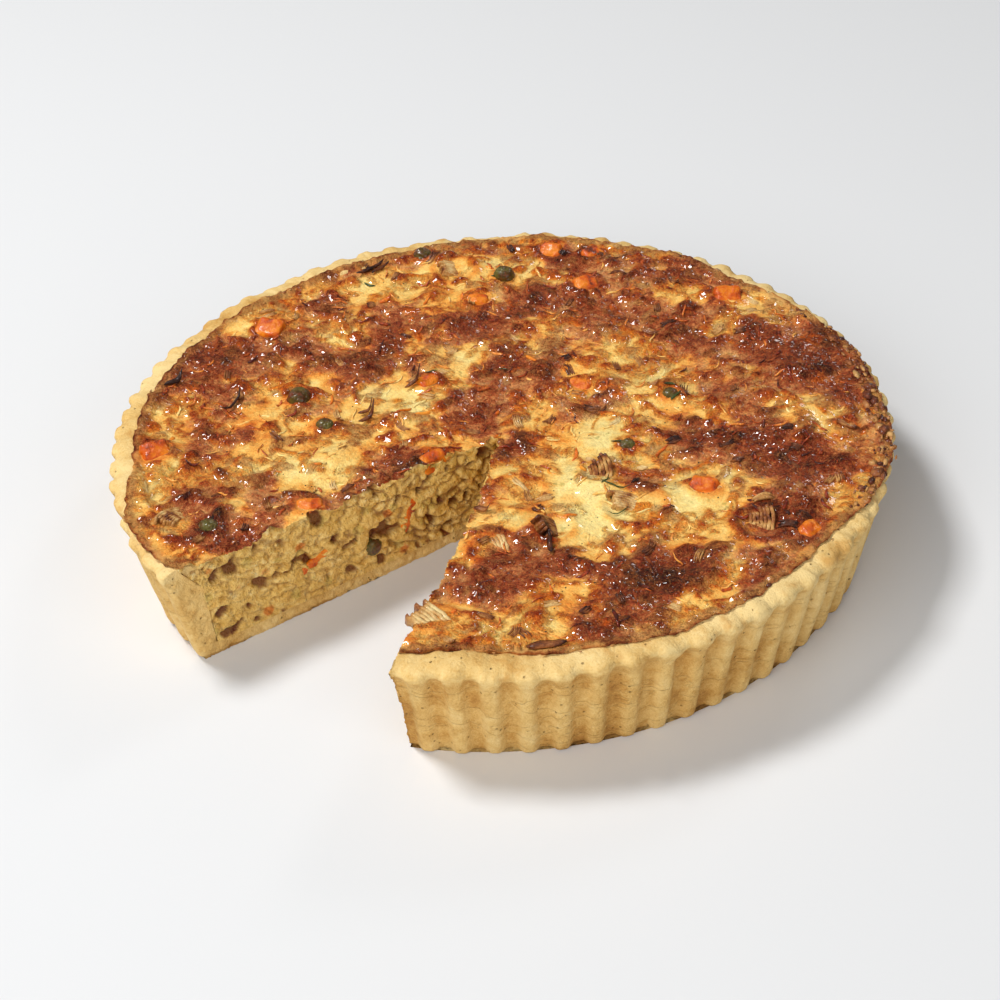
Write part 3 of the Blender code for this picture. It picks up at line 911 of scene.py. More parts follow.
def make_leek(number, x, y, turn, tilt, inner, width, sweep, sunk, browned):
    """A piece of leek ring as its own thin layers, parted and frayed along the top."""
    name = f"leek_{number}"
    bm = bmesh.new()
    frayed = bm.verts.layers.float.new("browning")
    arc = math.radians(sweep)
    pitch = width / LEEK_LAYERS
    draws = np.random.default_rng(100 + number)
    for layer in range(LEEK_LAYERS):
        start = inner + pitch * layer
        shift, rise, tone = draws.uniform(-0.07, 0.07) * arc, draws.uniform(-0.00012, 0.00012), draws.uniform(-0.06, 0.06)
        rows = [(start, -0.5), (start + 0.02 * pitch, 0.37), (start + 0.10 * pitch, 0.42),
                (start + 0.90 * pitch, 0.42), (start + 0.98 * pitch, 0.37), (start + pitch, -0.5)]
        corners = [bm.verts.new((radius, 0, share * LEEK_THICKNESS)) for radius, share in rows]
        face = bm.faces.new(corners)
        first = set(bm.verts) - set(corners)
        bmesh.ops.rotate(bm, verts=corners, matrix=Matrix.Rotation(shift - arc / 2, 3, "Z"))
        bmesh.ops.spin(
            bm, geom=[face], cent=(0, 0, 0), axis=(0, 0, 1), angle=arc, steps=LEEK_ARC_STEPS, use_duplicate=False
        )
        for vert in set(bm.verts) - first:
            upper = max(vert.co.z / LEEK_THICKNESS + 0.2, 0.0)
            along = math.atan2(vert.co.y, vert.co.x)
            waver = noise.noise(Vector((along * 9, layer * 1.3, number * 2.1)))
            vert.co.z += upper * (rise + 0.00024 * waver)
            vert.co.xy *= 1 + 0.0005 * noise.noise(Vector((along * 14, layer * 2.3, number))) / start
            patchy = 0.5 * noise.noise(vert.co * 380 + Vector((number, 0, 0)))
            scorched = 0.5 * noise.noise(Vector((along * 5, number * 1.9, 0.5)))
            ends = max(abs(along) / (arc / 2) - 0.62, 0)
            vert[frayed] = 0.32 + browned + tone + 0.7 * patchy + scorched + 0.3 * upper * waver + 0.5 * ends
    bmesh.ops.recalc_face_normals(bm, faces=bm.faces)
    bmesh.ops.translate(bm, verts=bm.verts, vec=(-(inner + width / 2), 0, 0))
    bmesh.ops.rotate(bm, verts=bm.verts, matrix=Matrix.Rotation(math.radians(tilt), 3, "X"))
    bmesh.ops.rotate(bm, verts=bm.verts, matrix=Matrix.Rotation(math.radians(turn), 3, "Z"))
    seat = surface_height(x, y) + LEEK_THICKNESS * (0.5 - sunk) - LEEK_SETTLED
    bmesh.ops.translate(bm, verts=bm.verts, vec=(x, y, seat))
    return make_piece("baked_" + name, bm, replaces=[name])


def make_toppings():
    made = {"pea": [], "carrot": [], "leek": []}
    for number, name in enumerate(sorted(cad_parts)):
        if "pea" in name:
            made["pea"].append(make_pea(name, number))
        elif name.startswith("carrot"):
            made["carrot"].append(make_carrot(name, number))
    for number, leek in enumerate(LEEKS, 1):
        made["leek"].append(make_leek(number, *leek))
    return made


# ---------------------------------------------------------------- shreds and specks


def strand_form(sides, rings):
    """A unit strand along X, tapered at both ends: its points, and its faces as a list."""
    bm = bmesh.new()
    bmesh.ops.create_cone(bm, cap_ends=True, segments=sides, radius1=1.0, radius2=1.0, depth=2.0)
    long_edges = [edge for edge in bm.edges if abs(edge.verts[0].co.z - edge.verts[1].co.z) > 1]
    bmesh.ops.subdivide_edges(bm, edges=long_edges, cuts=rings, use_grid_fill=True)
    for vert in bm.verts:
        vert.co.xy *= 0.30 + 0.70 * math.sqrt(max(1 - abs(vert.co.z) ** 2.6, 0.0))
    bmesh.ops.rotate(bm, verts=bm.verts, matrix=Matrix.Rotation(math.pi / 2, 3, "Y"))
    bmesh.ops.recalc_face_normals(bm, faces=bm.faces)
    bm.verts.ensure_lookup_table()
    points = np.array([vert.co[:] for vert in bm.verts])
    faces = [[vert.index for vert in face.verts] for face in bm.faces]
    bm.free()
    return points, faces


def joined_mesh(name, points, faces, paints):
    """One piece from many copies of a form: points of each copy, the faces of one, and paint for each point."""
    copies, size = points.shape[:2]
    mesh = bpy.data.meshes.new(name)
    every_face = [[index + copy * size for index in face] for copy in range(copies) for face in faces]
    mesh.from_pydata(points.reshape(-1, 3).tolist(), [], every_face)
    mesh.shade_smooth()
    piece = bpy.data.objects.new(name, mesh)
    bpy.context.scene.collection.objects.link(piece)
    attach(piece, BODY)
    for label, values in paints.items():
        paint(piece, label, np.broadcast_to(values, (copies, size)).reshape(-1))
    return piece


def drape_strands(field, x, y, heading, length, width, thickness, bend, rise, curl, wiggle, tone):
    """Strands laid over the top: the points and the browning of each, and which stay clear of the cuts."""
    points, faces = strand_form(5, 5)
    span, aside, up = points.T
    x, y, heading, length, width, thickness, bend, rise, curl, tone = (
        np.asarray(values)[:, None] for values in (x, y, heading, length, width, thickness, bend, rise, curl, tone)
    )
    along = span * length
    across = aside * width + bend * along**2 + wiggle * np.sin(along * 900 + x * 4000)
    cosine, sine = np.cos(heading), np.sin(heading)
    px, py = x + along * cosine - across * sine, y + along * sine + across * cosine
    tips = np.maximum(np.abs(span) - 0.3, 0)
    lifted = np.where(np.sin(x * 3000) > 0, span > 0, True)
    pz = field.top(px, py, "relaxed") + up * thickness + rise + curl * tips**2 * lifted
    browning = field.at("browning", px, py) * 0.6 + field.at("browning", x, y) * 0.4 + tone + 0.18 * tips
    clear = (cut_depth(px, py).max(axis=1) < 0.0006) & (np.hypot(px, py).max(axis=1) < FILLING_RADIUS + 0.001)
    return np.stack([px, py, pz], axis=2)[clear], faces, np.clip(browning, 0.03, 1.2)[clear]


def make_shreds(name, field, seed, count, length, width, thickness, lift, wiggle, tone, bundle=1):
    """Shreds strewn over the top and draped on it, some in bundles of parallel strands."""
    draws = np.random.default_rng(seed)
    radius = (FILLING_RADIUS - 0.004) * np.sqrt(draws.random(count))
    turn, heading = draws.uniform(0, 2 * math.pi, count), draws.uniform(0, math.pi, count)
    columns = [
        radius * np.cos(turn), radius * np.sin(turn), heading,
        draws.uniform(*length, count), draws.uniform(*width, count), draws.uniform(*thickness, count),
        draws.normal(0, 45, count), draws.uniform(*lift, count), 0.004 * draws.uniform(0, 1, count) ** 4,
        draws.normal(0, 0.12, count) + tone,
    ]
    x, y, heading, length, width, thickness, bend, rise, curl, tone = (np.repeat(each, bundle) for each in columns)
    order = np.tile(np.arange(bundle), count) - (bundle - 1) / 2
    x, y = x - np.sin(heading) * order * width * BUNDLE_PITCH, y + np.cos(heading) * order * width * BUNDLE_PITCH
    length = length * draws.uniform(0.7, 1.1, len(order))
    rise = rise + draws.uniform(-0.0002, 0.0003, len(order))
    points, faces, browning = drape_strands(
        field, x, y, heading, length, width, thickness, bend, rise, curl, wiggle, tone
    )
    piece = joined_mesh(name, points, faces, {"browning": browning})
    return piece


def make_placed_strands(name, field, places, tone, wiggle):
    """Strands placed one by one: x, y, heading in degrees, half length, half width, thickness, bend, rise, curl."""
    x, y, heading, length, width, thickness, bend, rise, curl = np.array(places).T
    points, faces, browning = drape_strands(
        field, x, y, np.radians(heading), length, width, thickness, bend, rise, curl, wiggle, x * 0 + tone
    )
    piece = joined_mesh(name, points, faces, {"browning": browning})
    return piece


def speck_form():
    bm = bmesh.new()
    bmesh.ops.create_icosphere(bm, subdivisions=1, radius=1.0)
    for vert in bm.verts:
        vert.co *= 1 + 0.35 * noise.noise(vert.co * 3)
    points = np.array([vert.co[:] for vert in bm.verts])
    faces = [[vert.index for vert in face.verts] for face in bm.faces]
    bm.free()
    return points, faces


def make_specks(name, field, seed, count, size):
    """Ground pepper and crumbs of herb lying on the custard."""
    draws = np.random.default_rng(seed)
    radius, turn = (FILLING_RADIUS - 0.004) * np.sqrt(draws.random(count)), draws.uniform(0, 2 * math.pi, count)
    x, y = radius * np.cos(turn), radius * np.sin(turn)
    points, faces = speck_form()
    reach = draws.uniform(*size, (count, 3))
    spots = points[None, :, :] * reach[:, None, :]
    px, py = x[:, None] + spots[:, :, 0], y[:, None] + spots[:, :, 1]
    pz = field.top(x, y)[:, None] + 0.5 * spots[:, :, 2]
    clear = cut_depth(x, y) < -0.001
    piece = joined_mesh(name, np.stack([px, py, pz], axis=2)[clear], faces, {"browning": 0.0})
    return piece


def make_crisp_edge():
    """Crumbs and scraps of filling baked hard along the rim, thickest where it boiled over."""
    draws = np.random.default_rng(31)
    turn = draws.uniform(-math.pi, math.pi, EDGE_CRUMBS)
    outline = filling_outline(turn)
    spill = smooth_share((outline - SPILL_RADIUS) / 0.003) * smooth_share(1.6 * np.cos(turn - SPILL_TURN) - 0.2)
    kept = draws.random(EDGE_CRUMBS) < 0.15 + 0.85 * spill
    turn, outline, spill = turn[kept], outline[kept], spill[kept]
    count = len(turn)
    radius = outline + draws.normal(-0.0008, 0.0008, count) + spill * draws.uniform(-0.0045, 0.0006, count)
    x, y = radius * np.cos(turn), radius * np.sin(turn)
    points, faces = speck_form()
    clumped = smooth_share(0.5 + 1.2 * soft_noise(turn * FILLING_RADIUS, 0 * turn, 0.006, 17))
    size = (0.00016 + 0.00034 * draws.random((count, 1)) ** 2) * (0.5 + clumped + 1.3 * spill)[:, None]
    reach = size * draws.uniform((0.8, 0.6, 0.30), (2.4, 1.8, 0.6), (count, 3))
    spots = points[None, :, :] * reach[:, None, :]
    swing = turn[:, None] + math.pi / 2
    px = x[:, None] + spots[:, :, 0] * 1.6 * np.cos(swing) - spots[:, :, 1] * np.sin(swing)
    py = y[:, None] + spots[:, :, 0] * 1.6 * np.sin(swing) + spots[:, :, 1] * np.cos(swing)
    rest = SHELL_HEIGHT + 0.0003 + rim_wave(turn) + spill * draws.uniform(-0.0003, 0.0009, count)
    pz = rest[:, None] + spots[:, :, 2]
    clear = cut_depth(x, y) < -0.0008
    tone = np.clip(0.50 + 0.16 * spill + draws.normal(0, 0.22, count), 0.15, 1.0)
    piece = joined_mesh(
        "crisp_edge", np.stack([px, py, pz], axis=2)[clear], faces, {"browning": tone[clear][:, None]}
    )
    return piece


# ---------------------------------------------------------------- materials


def tint(code):
    """A linear colour from a six-figure screen colour."""
    parts = [int(code[place:place + 2], 16) / 255 for place in (0, 2, 4)]
    return tuple(part / 12.92 if part <= 0.04045 else ((part + 0.055) / 1.055) ** 2.4 for part in parts)


def put(tree, kind, inputs=(), **settings):
    """A new shader node: its settings, then its inputs, each a value or another node's socket."""
    node = tree.nodes.new("ShaderNode" + kind)
    for name, value in settings.items():
        setattr(node, name, value)
    for key, value in dict(inputs).items():
        if isinstance(value, bpy.types.NodeSocket):
            tree.links.new(value, node.inputs[key])
        else:
            node.inputs[key].default_value = value
    return node


def calculate(tree, operation, first, second=0.0, third=0.0, clamp=False):
    node = put(tree, "Math", {0: first, 1: second, 2: third}, operation=operation)
    node.use_clamp = clamp
    return node.outputs[0]


def between(tree, value, low, high, to_low=0.0, to_high=1.0):
    """The value moved smoothly from one span to another, and held at its ends."""
    return put(
        tree, "MapRange", {"Value": value, 1: low, 2: high, 3: to_low, 4: to_high},
        interpolation_type="SMOOTHSTEP",
    ).outputs[0]


def blend(tree, factor, first, second, kind="MIX"):
    node = put(tree, "Mix", data_type="RGBA", blend_type=kind, clamp_result=True)
    for socket, value in zip((node.inputs[0], node.inputs[6], node.inputs[7]), (factor, first, second)):
        if isinstance(value, bpy.types.NodeSocket):
            tree.links.new(value, socket)
        elif isinstance(value, tuple):
            socket.default_value = (*value, 1.0)
        else:
            socket.default_value = value
    return node.outputs[2]


def ramp(tree, factor, stops):
    """A colour ramp through (position, screen colour) stops."""
    node = put(tree, "ValToRGB", {"Fac": factor})
    elements = node.color_ramp.elements
    while len(elements) < len(stops):
        elements.new(0.5)
    for element, (position, code) in zip(elements, stops):
        element.position = position
        element.color = (*tint(code), 1.0)
    return node.outputs["Color"]


def grain(tree, place, scale, detail=3.0, roughness=0.55, distortion=0.0):
    """Noise from 0 to 1."""
    return put(
        tree, "TexNoise",
        {"Vector": place, "Scale": scale, "Detail": detail, "Roughness": roughness, "Distortion": distortion},
    ).outputs["Fac"]


def object_place(tree):
    return put(tree, "TexCoord").outputs["Object"]


def attribute(tree, name):
    return put(tree, "Attribute", attribute_name=name).outputs["Fac"]


def new_material(name):
    material = bpy.data.materials.new(name)
    material.use_nodes = True
    tree = material.node_tree
    return material, tree, tree.nodes["Principled BSDF"]


def bump(tree, height, distance, normal=None):
    inputs = {"Height": height, "Distance": distance}
    if normal is not None:
        inputs["Normal"] = normal
    return put(tree, "Bump", inputs).outputs["Normal"]


def new_group(name, takes, gives):
    """A node group with these inputs and outputs, each a name and a socket kind."""
    group = bpy.data.node_groups.new(name, "ShaderNodeTree")
    for in_out, sockets in (("INPUT", takes), ("OUTPUT", gives)):
        for label, kind in sockets:
            group.interface.new_socket(label, in_out=in_out, socket_type="NodeSocket" + kind)
    return group, group.nodes.new("NodeGroupInput").outputs, group.nodes.new("NodeGroupOutput").inputs


def use_group(tree, group, inputs):
    node = tree.nodes.new("ShaderNodeGroup")
    node.node_tree = group
    for key, value in inputs.items():
        if isinstance(value, bpy.types.NodeSocket):
            tree.links.new(value, node.inputs[key])
        else:
            node.inputs[key].default_value = (*value, 1.0) if isinstance(value, tuple) else value
    return node.outputs


def fibre_patches():
    """Patches of parallel fibres, each patch with its own direction."""
    group, takes, gives = new_group(
        "fibre_patches",
        [("Place", "Vector"), ("Patch Scale", "Float"), ("Fibre Scale", "Float")],
        [("Fibre", "Float"), ("Patch", "Float")],
    )
    wander = put(group, "TexNoise", {"Vector": takes["Place"], "Scale": 320.0, "Detail": 2.0})
    pushed = put(
        group, "VectorMath", {0: wander.outputs["Color"], 1: (0.0055, 0.0055, 0.0055), 2: takes["Place"]},
        operation="MULTIPLY_ADD",
    ).outputs[0]
    cells = put(group, "TexVoronoi", {"Vector": pushed, "Scale": takes["Patch Scale"]})
    parts = put(group, "SeparateColor", {"Color": cells.outputs["Color"]}).outputs
    angle = calculate(group, "MULTIPLY", parts[0], 2 * math.pi)
    turned = put(
        group, "VectorRotate", {"Vector": takes["Place"], "Angle": angle}, rotation_type="Z_AXIS"
    ).outputs[0]
    drawn = put(group, "VectorMath", {0: turned, 1: (0.16, 1.0, 1.0)}, operation="MULTIPLY").outputs[0]
    fibre = put(
        group, "TexNoise", {"Vector": drawn, "Scale": takes["Fibre Scale"], "Detail": 2.5, "Distortion": 0.3}
    ).outputs["Fac"]
    group.links.new(fibre, gives["Fibre"])
    group.links.new(parts[1], gives["Patch"])
    return group


def oven_browning():
    """Takes a raw colour through gold and brown to burnt."""
    group, takes, gives = new_group(
        "oven_browning", [("Colour", "Color"), ("Amount", "Float")], [("Colour", "Color")]
    )
    golden = blend(group, between(group, takes["Amount"], 0.15, 0.60), takes["Colour"], tint("E0A468"), "MULTIPLY")
    brown = blend(group, between(group, takes["Amount"], 0.50, 0.85), golden, tint("6E2C12"))
    burnt = blend(group, between(group, takes["Amount"], 0.80, 1.10), brown, tint("1E0B07"))
    group.links.new(burnt, gives["Colour"])
    return group


TOASTED = [
    (0.00, "FBE394"),
    (0.14, "FAD27A"),
    (0.27, "F8BC5E"),
    (0.40, "F09E42"),
    (0.52, "DA782A"),
    (0.64, "B84F18"),
    (0.76, "92300C"),
    (0.88, "681B06"),
    (1.00, "3E0D03"),
]
SKINNED = [
    (0.00, "F6CC92"),
    (0.25, "EAAA70"),
    (0.45, "D28450"),
    (0.60, "B05630"),
    (0.75, "843319"),
    (0.88, "5A1E0C"),
    (1.00, "340E05"),
]
CARROTS_BAKED = [
    (0.00, "F9A437"),
    (0.35, "F08A22"),
    (0.60, "D25E14"),
    (0.80, "8E3410"),
    (1.00, "3A1408"),
]
LEEKS_BAKED = [
    (0.00, "E8CE90"),
    (0.22, "DEB676"),
    (0.45, "C28C4C"),
    (0.65, "945629"),
    (0.82, "602E14"),
    (1.00, "2E130A"),
]
PASTRY_BAKED = [
    (0.05, "F0D190"),
    (0.35, "E0B870"),
    (0.60, "C8974E"),
    (0.80, "AE7938"),
    (1.00, "865624"),
]
EDGE_BAKED = [
    (0.00, "DDAE6C"),
    (0.40, "C48A4C"),
    (0.65, "9A5A30"),
    (0.82, "6E3218"),
    (1.00, "42190C"),
]


def browned_material(fibres):
    """The baked top: custard, melted cheese and vegetables, from pale to burnt, and oily in places."""
    material, tree, shader = new_material("browned_top")
    place = object_place(tree)
    fine = grain(tree, place, 1500, 3.0, 0.6)
    middle = grain(tree, place, 520, 3.0, 0.62, 0.2)
    broad = grain(tree, place, 170, 2.0, 0.5, 0.6)
    patch = use_group(tree, fibres, {"Place": place, "Patch Scale": 165.0, "Fibre Scale": 900.0})
    flow = use_group(tree, fibres, {"Place": place, "Patch Scale": 90.0, "Fibre Scale": 420.0})
    rough_share = between(tree, attribute(tree, "pool"), 0.2, 0.9, 1.0, 0.3)
    value = attribute(tree, "browning")
    layers = ((middle, 0.46), (broad, 0.30), (patch["Fibre"], 0.34), (flow["Fibre"], 0.20), (patch["Patch"], 0.08))
    for layer, weight in layers:
        share = calculate(tree, "MULTIPLY", calculate(tree, "SUBTRACT", layer, 0.5), rough_share)
        value = calculate(tree, "MULTIPLY_ADD", share, weight, value)
    crests = calculate(tree, "ABSOLUTE", calculate(tree, "SUBTRACT", grain(tree, place, 360, 2.0, 0.55, 0.9), 0.5))
    crests = between(tree, crests, 0.0, 0.026, 1.0, 0.0)
    strands = calculate(tree, "ABSOLUTE", calculate(tree, "SUBTRACT", patch["Fibre"], 0.52))
    crests = calculate(tree, "MAXIMUM", crests, between(tree, strands, 0.0, 0.024, 1.0, 0.0))
    crests = calculate(tree, "MULTIPLY", crests, rough_share)
    value = calculate(tree, "MULTIPLY_ADD", crests, -0.10, value)
    value = calculate(tree, "MULTIPLY_ADD", calculate(tree, "SUBTRACT", fine, 0.5), 0.36, value, clamp=True)
    colour = ramp(tree, value, TOASTED)
    skin = between(tree, calculate(tree, "MULTIPLY_ADD", middle, 0.5, attribute(tree, "skin")), 0.55, 1.15, 0.0, 0.9)
    colour = blend(tree, skin, colour, ramp(tree, value, SKINNED))
    colour = blend(tree, calculate(tree, "MULTIPLY", attribute(tree, "leek"), 0.65), colour, ramp(tree, value, LEEKS_BAKED))
    colour = blend(tree, calculate(tree, "MULTIPLY", attribute(tree, "carrot"), 0.8), colour, ramp(tree, value, CARROTS_BAKED))
    colour = blend(tree, calculate(tree, "MULTIPLY", crests, 0.38), colour, tint("DE9658"))
    green = between(tree, grain(tree, place, 260, 2.0), 0.62, 0.72, 0.0, 0.45)
    green = calculate(tree, "MULTIPLY", green, between(tree, value, 0.5, 0.25))
    colour = blend(tree, green, colour, tint("8E8A3A"))
    colour = blend(tree, attribute(tree, "edge"), colour, ramp(tree, value, EDGE_BAKED))
    # Painted shade: the low places of the relief are darkened towards red-brown
    shadow = calculate(tree, "MULTIPLY", attribute(tree, "crevice_shade"), 0.40)
    colour = blend(tree, shadow, colour, tint("8A3A16"), "MULTIPLY")
    speckle = between(tree, grain(tree, place, 900, 3.0, 0.7), 0.36, 0.64, 0.86, 1.14)
    colour = blend(tree, between(tree, rough_share, 0.3, 1.0, 0.6, 1.0), colour, speckle, "MULTIPLY")
    tree.links.new(colour, shader.inputs["Base Color"])
    oil = attribute(tree, "oil")
    rough = calculate(tree, "MULTIPLY_ADD", oil, -0.18, 0.50)
    rough = calculate(tree, "MULTIPLY_ADD", fine, 0.15, rough)
    tree.links.new(rough, shader.inputs["Roughness"])
    shader.inputs["Specular IOR Level"].default_value = 0.10
    shader.inputs["Coat Roughness"].default_value = 0.05
    coat = calculate(tree, "MULTIPLY", oil, between(tree, middle, 0.38, 0.52))
    tree.links.new(coat, shader.inputs["Coat Weight"])
    normal = bump(tree, calculate(tree, "MULTIPLY", calculate(tree, "SUBTRACT", middle, 0.5), rough_share), 0.0018)
    fibre = calculate(tree, "MULTIPLY", calculate(tree, "SUBTRACT", patch["Fibre"], 0.5), rough_share)
    normal = bump(tree, fibre, 0.0011, normal)
    normal = bump(tree, crests, 0.00015, normal)
    normal = bump(tree, calculate(tree, "MULTIPLY", calculate(tree, "SUBTRACT", fine, 0.5), rough_share), 0.0006, normal)
    tree.links.new(normal, shader.inputs["Normal"])
    return material


def cut_material():
    """Custard bared by the knife: set curds, paler on their faces than in the painted shade of the gaps between them,
    with shreds of leek and carrot.
    """
    material, tree, shader = new_material("cut_custard")
    place = object_place(tree)
    fine = grain(tree, place, 1300, 3.0)
    middle = grain(tree, place, 300, 3.0, 0.6, 0.4)
    broad = grain(tree, place, 60, 2.0)
    value = calculate(tree, "MULTIPLY_ADD", fine, 0.35, calculate(tree, "MULTIPLY", middle, 0.65))
    colour = ramp(tree, value, [(0.28, "AA7426"), (0.42, "DAA84E"), (0.55, "F0C874"), (0.72, "FDE8AC")])
    colour = blend(tree, between(tree, broad, 0.35, 0.65, 0.0, 0.45), colour, tint("E0B458"))
    bits = put(tree, "TexVoronoi", {"Vector": place, "Scale": 210.0})
    parts = put(tree, "SeparateColor", {"Color": bits.outputs["Color"]}).outputs
    inside = between(tree, bits.outputs["Distance"], 0.55, 0.30)
    leek = calculate(tree, "MULTIPLY", inside, between(tree, parts[0], 0.84, 0.86))
    carrot = calculate(tree, "MULTIPLY", inside, between(tree, parts[1], 0.94, 0.95))
    colour = blend(tree, calculate(tree, "MULTIPLY", leek, 0.40), colour, tint("B4A048"))
    colour = blend(tree, calculate(tree, "MULTIPLY", carrot, 0.85), colour, tint("D8771E"))
    # Painted shade: darker brown in the gaps between curds, as deep as each gap
    colour = blend(tree, attribute(tree, "hollow_shade"), colour, tint("7A4410"), "MULTIPLY")
    tree.links.new(colour, shader.inputs["Base Color"])
    tree.links.new(between(tree, middle, 0.3, 0.7, 0.30, 0.60), shader.inputs["Roughness"])
    shader.inputs["Specular IOR Level"].default_value = 0.45
    tree.links.new(bump(tree, fine, 0.0004, bump(tree, middle, 0.0014)), shader.inputs["Normal"])
    return material


def pastry_material(name, cut):
    """Baked shortcrust: pale and floury on the ridges and the rim, tanned low down, and darker in the grooves, partly
    tan and partly painted shade.
    """
    material, tree, shader = new_material(name)
    place = object_place(tree)
    parts = put(tree, "SeparateXYZ", {"Vector": place}).outputs
    fine = grain(tree, place, 1500, 3.0, 0.6)
    middle = grain(tree, place, 330, 4.0, 0.6, 0.3)
    broad = grain(tree, place, 42, 3.0, 0.55)
    low = between(tree, parts["Z"], 0.034, 0.004)
    value = calculate(tree, "MULTIPLY_ADD", calculate(tree, "SUBTRACT", broad, 0.5), 1.2, 0.36)
    value = calculate(tree, "MULTIPLY_ADD", calculate(tree, "SUBTRACT", middle, 0.5), 0.6, value)
    value = calculate(tree, "MULTIPLY_ADD", calculate(tree, "SUBTRACT", fine, 0.5), 0.5, value)
    value = calculate(tree, "MULTIPLY_ADD", low, 0.03, value)
    value = calculate(tree, "MULTIPLY_ADD", between(tree, parts["Z"], 0.0355, 0.0385), -0.12, value)
    if not cut:
        # Darker in the grooves: partly tan, partly painted shade
        value = calculate(tree, "MULTIPLY_ADD", attribute(tree, "groove"), 0.16, value)
    colour = ramp(tree, value, PASTRY_BAKED)
    stain = between(tree, grain(tree, place, 85, 3.0, 0.6), 0.55, 0.70, 0.0, 0.60)
    stain = calculate(tree, "MULTIPLY", stain, between(tree, parts["Z"], 0.024, 0.036))
    colour = blend(tree, stain, colour, tint("CC9244"))
    foot = calculate(tree, "MULTIPLY", between(tree, parts["Z"], 0.0013, 0.0006), between(tree, broad, 0.40, 0.55, 0.1, 0.6))
    colour = blend(tree, foot, colour, tint("7E4E1E"))
    # Small pits, dented by the bump further down; their darker colour is painted shade
    pits = put(tree, "TexVoronoi", {"Vector": place, "Scale": 420.0})
    shaded_pit = calculate(tree, "MULTIPLY", between(tree, pits.outputs["Distance"], 0.20, 0.08),
                     between(tree, put(tree, "SeparateColor", {"Color": pits.outputs["Color"]}).outputs[0], 0.80, 0.82))
    colour = blend(tree, calculate(tree, "MULTIPLY", shaded_pit, 0.6), colour, tint("9A7038"))
    tree.links.new(colour, shader.inputs["Base Color"])
    shader.inputs["Roughness"].default_value = 0.75
    shader.inputs["Specular IOR Level"].default_value = 0.25
    angle = calculate(tree, "ARCTAN2", parts["Y"], parts["X"])
    around = put(
        tree, "CombineXYZ", {"X": calculate(tree, "MULTIPLY", angle, 0.035), "Y": calculate(tree, "MULTIPLY", parts["Z"], 0.9)}
    ).outputs[0]
    crease = calculate(tree, "ABSOLUTE", calculate(tree, "SUBTRACT", grain(tree, around, 130, 2.0, 0.5, 0.5), 0.5))
    crease = between(tree, crease, 0.0, 0.018)
    normal = bump(tree, middle, 0.0006)
    normal = bump(tree, fine, 0.0003, normal)
    if not cut:
        on_wall = between(tree, parts["Z"], 0.036, 0.033)
        normal = bump(tree, calculate(tree, "MULTIPLY", crease, on_wall), 0.00022, normal)
    normal = bump(tree, calculate(tree, "SUBTRACT", 1.0, shaded_pit), 0.0006, normal)
    tree.links.new(normal, shader.inputs["Normal"])
    return material


def shred_material(name, stops, gloss):
    """A baked shred or cut vegetable, browned by its own amount."""
    material, tree, shader = new_material(name)
    place = object_place(tree)
    fine = grain(tree, place, 1400, 3.0, 0.6)
    middle = grain(tree, place, 480, 3.0, 0.6, 0.3)
    value = attribute(tree, "browning")
    value = calculate(tree, "MULTIPLY_ADD", calculate(tree, "SUBTRACT", middle, 0.5), 0.55, value)
    value = calculate(tree, "MULTIPLY_ADD", calculate(tree, "SUBTRACT", fine, 0.5), 0.35, value, clamp=True)
    tree.links.new(ramp(tree, value, stops), shader.inputs["Base Color"])
    shader.inputs["Roughness"].default_value = 0.50
    shader.inputs["Specular IOR Level"].default_value = 0.35
    shader.inputs["Coat Roughness"].default_value = 0.12
    tree.links.new(between(tree, middle, 0.35, 0.65, 0.0, gloss), shader.inputs["Coat Weight"])
    tree.links.new(bump(tree, fine, 0.0003, bump(tree, middle, 0.0006)), shader.inputs["Normal"])
    return material


def vegetable_material(name, raw, amount, browning, gloss=0.5):
    """A larger piece of vegetable with its own colour, browned here and there."""
    material, tree, shader = new_material(name)
    place = object_place(tree)
    fine = grain(tree, place, 1200, 3.0, 0.6)
    middle = grain(tree, place, 330, 3.0, 0.6, 0.4)
    broad = grain(tree, place, 150, 2.0, 0.5, 0.4)
    value = calculate(tree, "MULTIPLY_ADD", calculate(tree, "SUBTRACT", middle, 0.5), 0.9, amount)
    value = calculate(tree, "MULTIPLY_ADD", calculate(tree, "SUBTRACT", broad, 0.5), 1.5, value)
    value = calculate(tree, "MULTIPLY_ADD", calculate(tree, "SUBTRACT", fine, 0.5), 0.5, value)
    own = blend(tree, between(tree, fine, 0.3, 0.7), tint(raw[0]), tint(raw[1]))
    colour = use_group(tree, browning, {"Colour": own, "Amount": value})["Colour"]
    tree.links.new(colour, shader.inputs["Base Color"])
    shader.inputs["Roughness"].default_value = 0.45
    shader.inputs["Specular IOR Level"].default_value = 0.4
    shader.inputs["Coat Roughness"].default_value = 0.12
    tree.links.new(between(tree, middle, 0.35, 0.65, 0.1, gloss), shader.inputs["Coat Weight"])
    tree.links.new(bump(tree, fine, 0.0003, bump(tree, middle, 0.0006)), shader.inputs["Normal"])
    return material


# ---------------------------------------------------------------- studio


def aim(obj, target):
    obj.rotation_euler = (target - obj.location).to_track_quat("-Z", "Y").to_euler()


def add_light(name, place, size, power, mirrored):
    data = bpy.data.lights.new(name, "AREA")
    data.shape = "RECTANGLE"
    data.size, data.size_y = size
    data.energy = power
    light = bpy.data.objects.new(name, data)
    bpy.context.scene.collection.objects.link(light)
    light.visible_glossy = mirrored
    light.location = from_camera_side(*place)
    aim(light, Vector((0, 0, 0.02)))


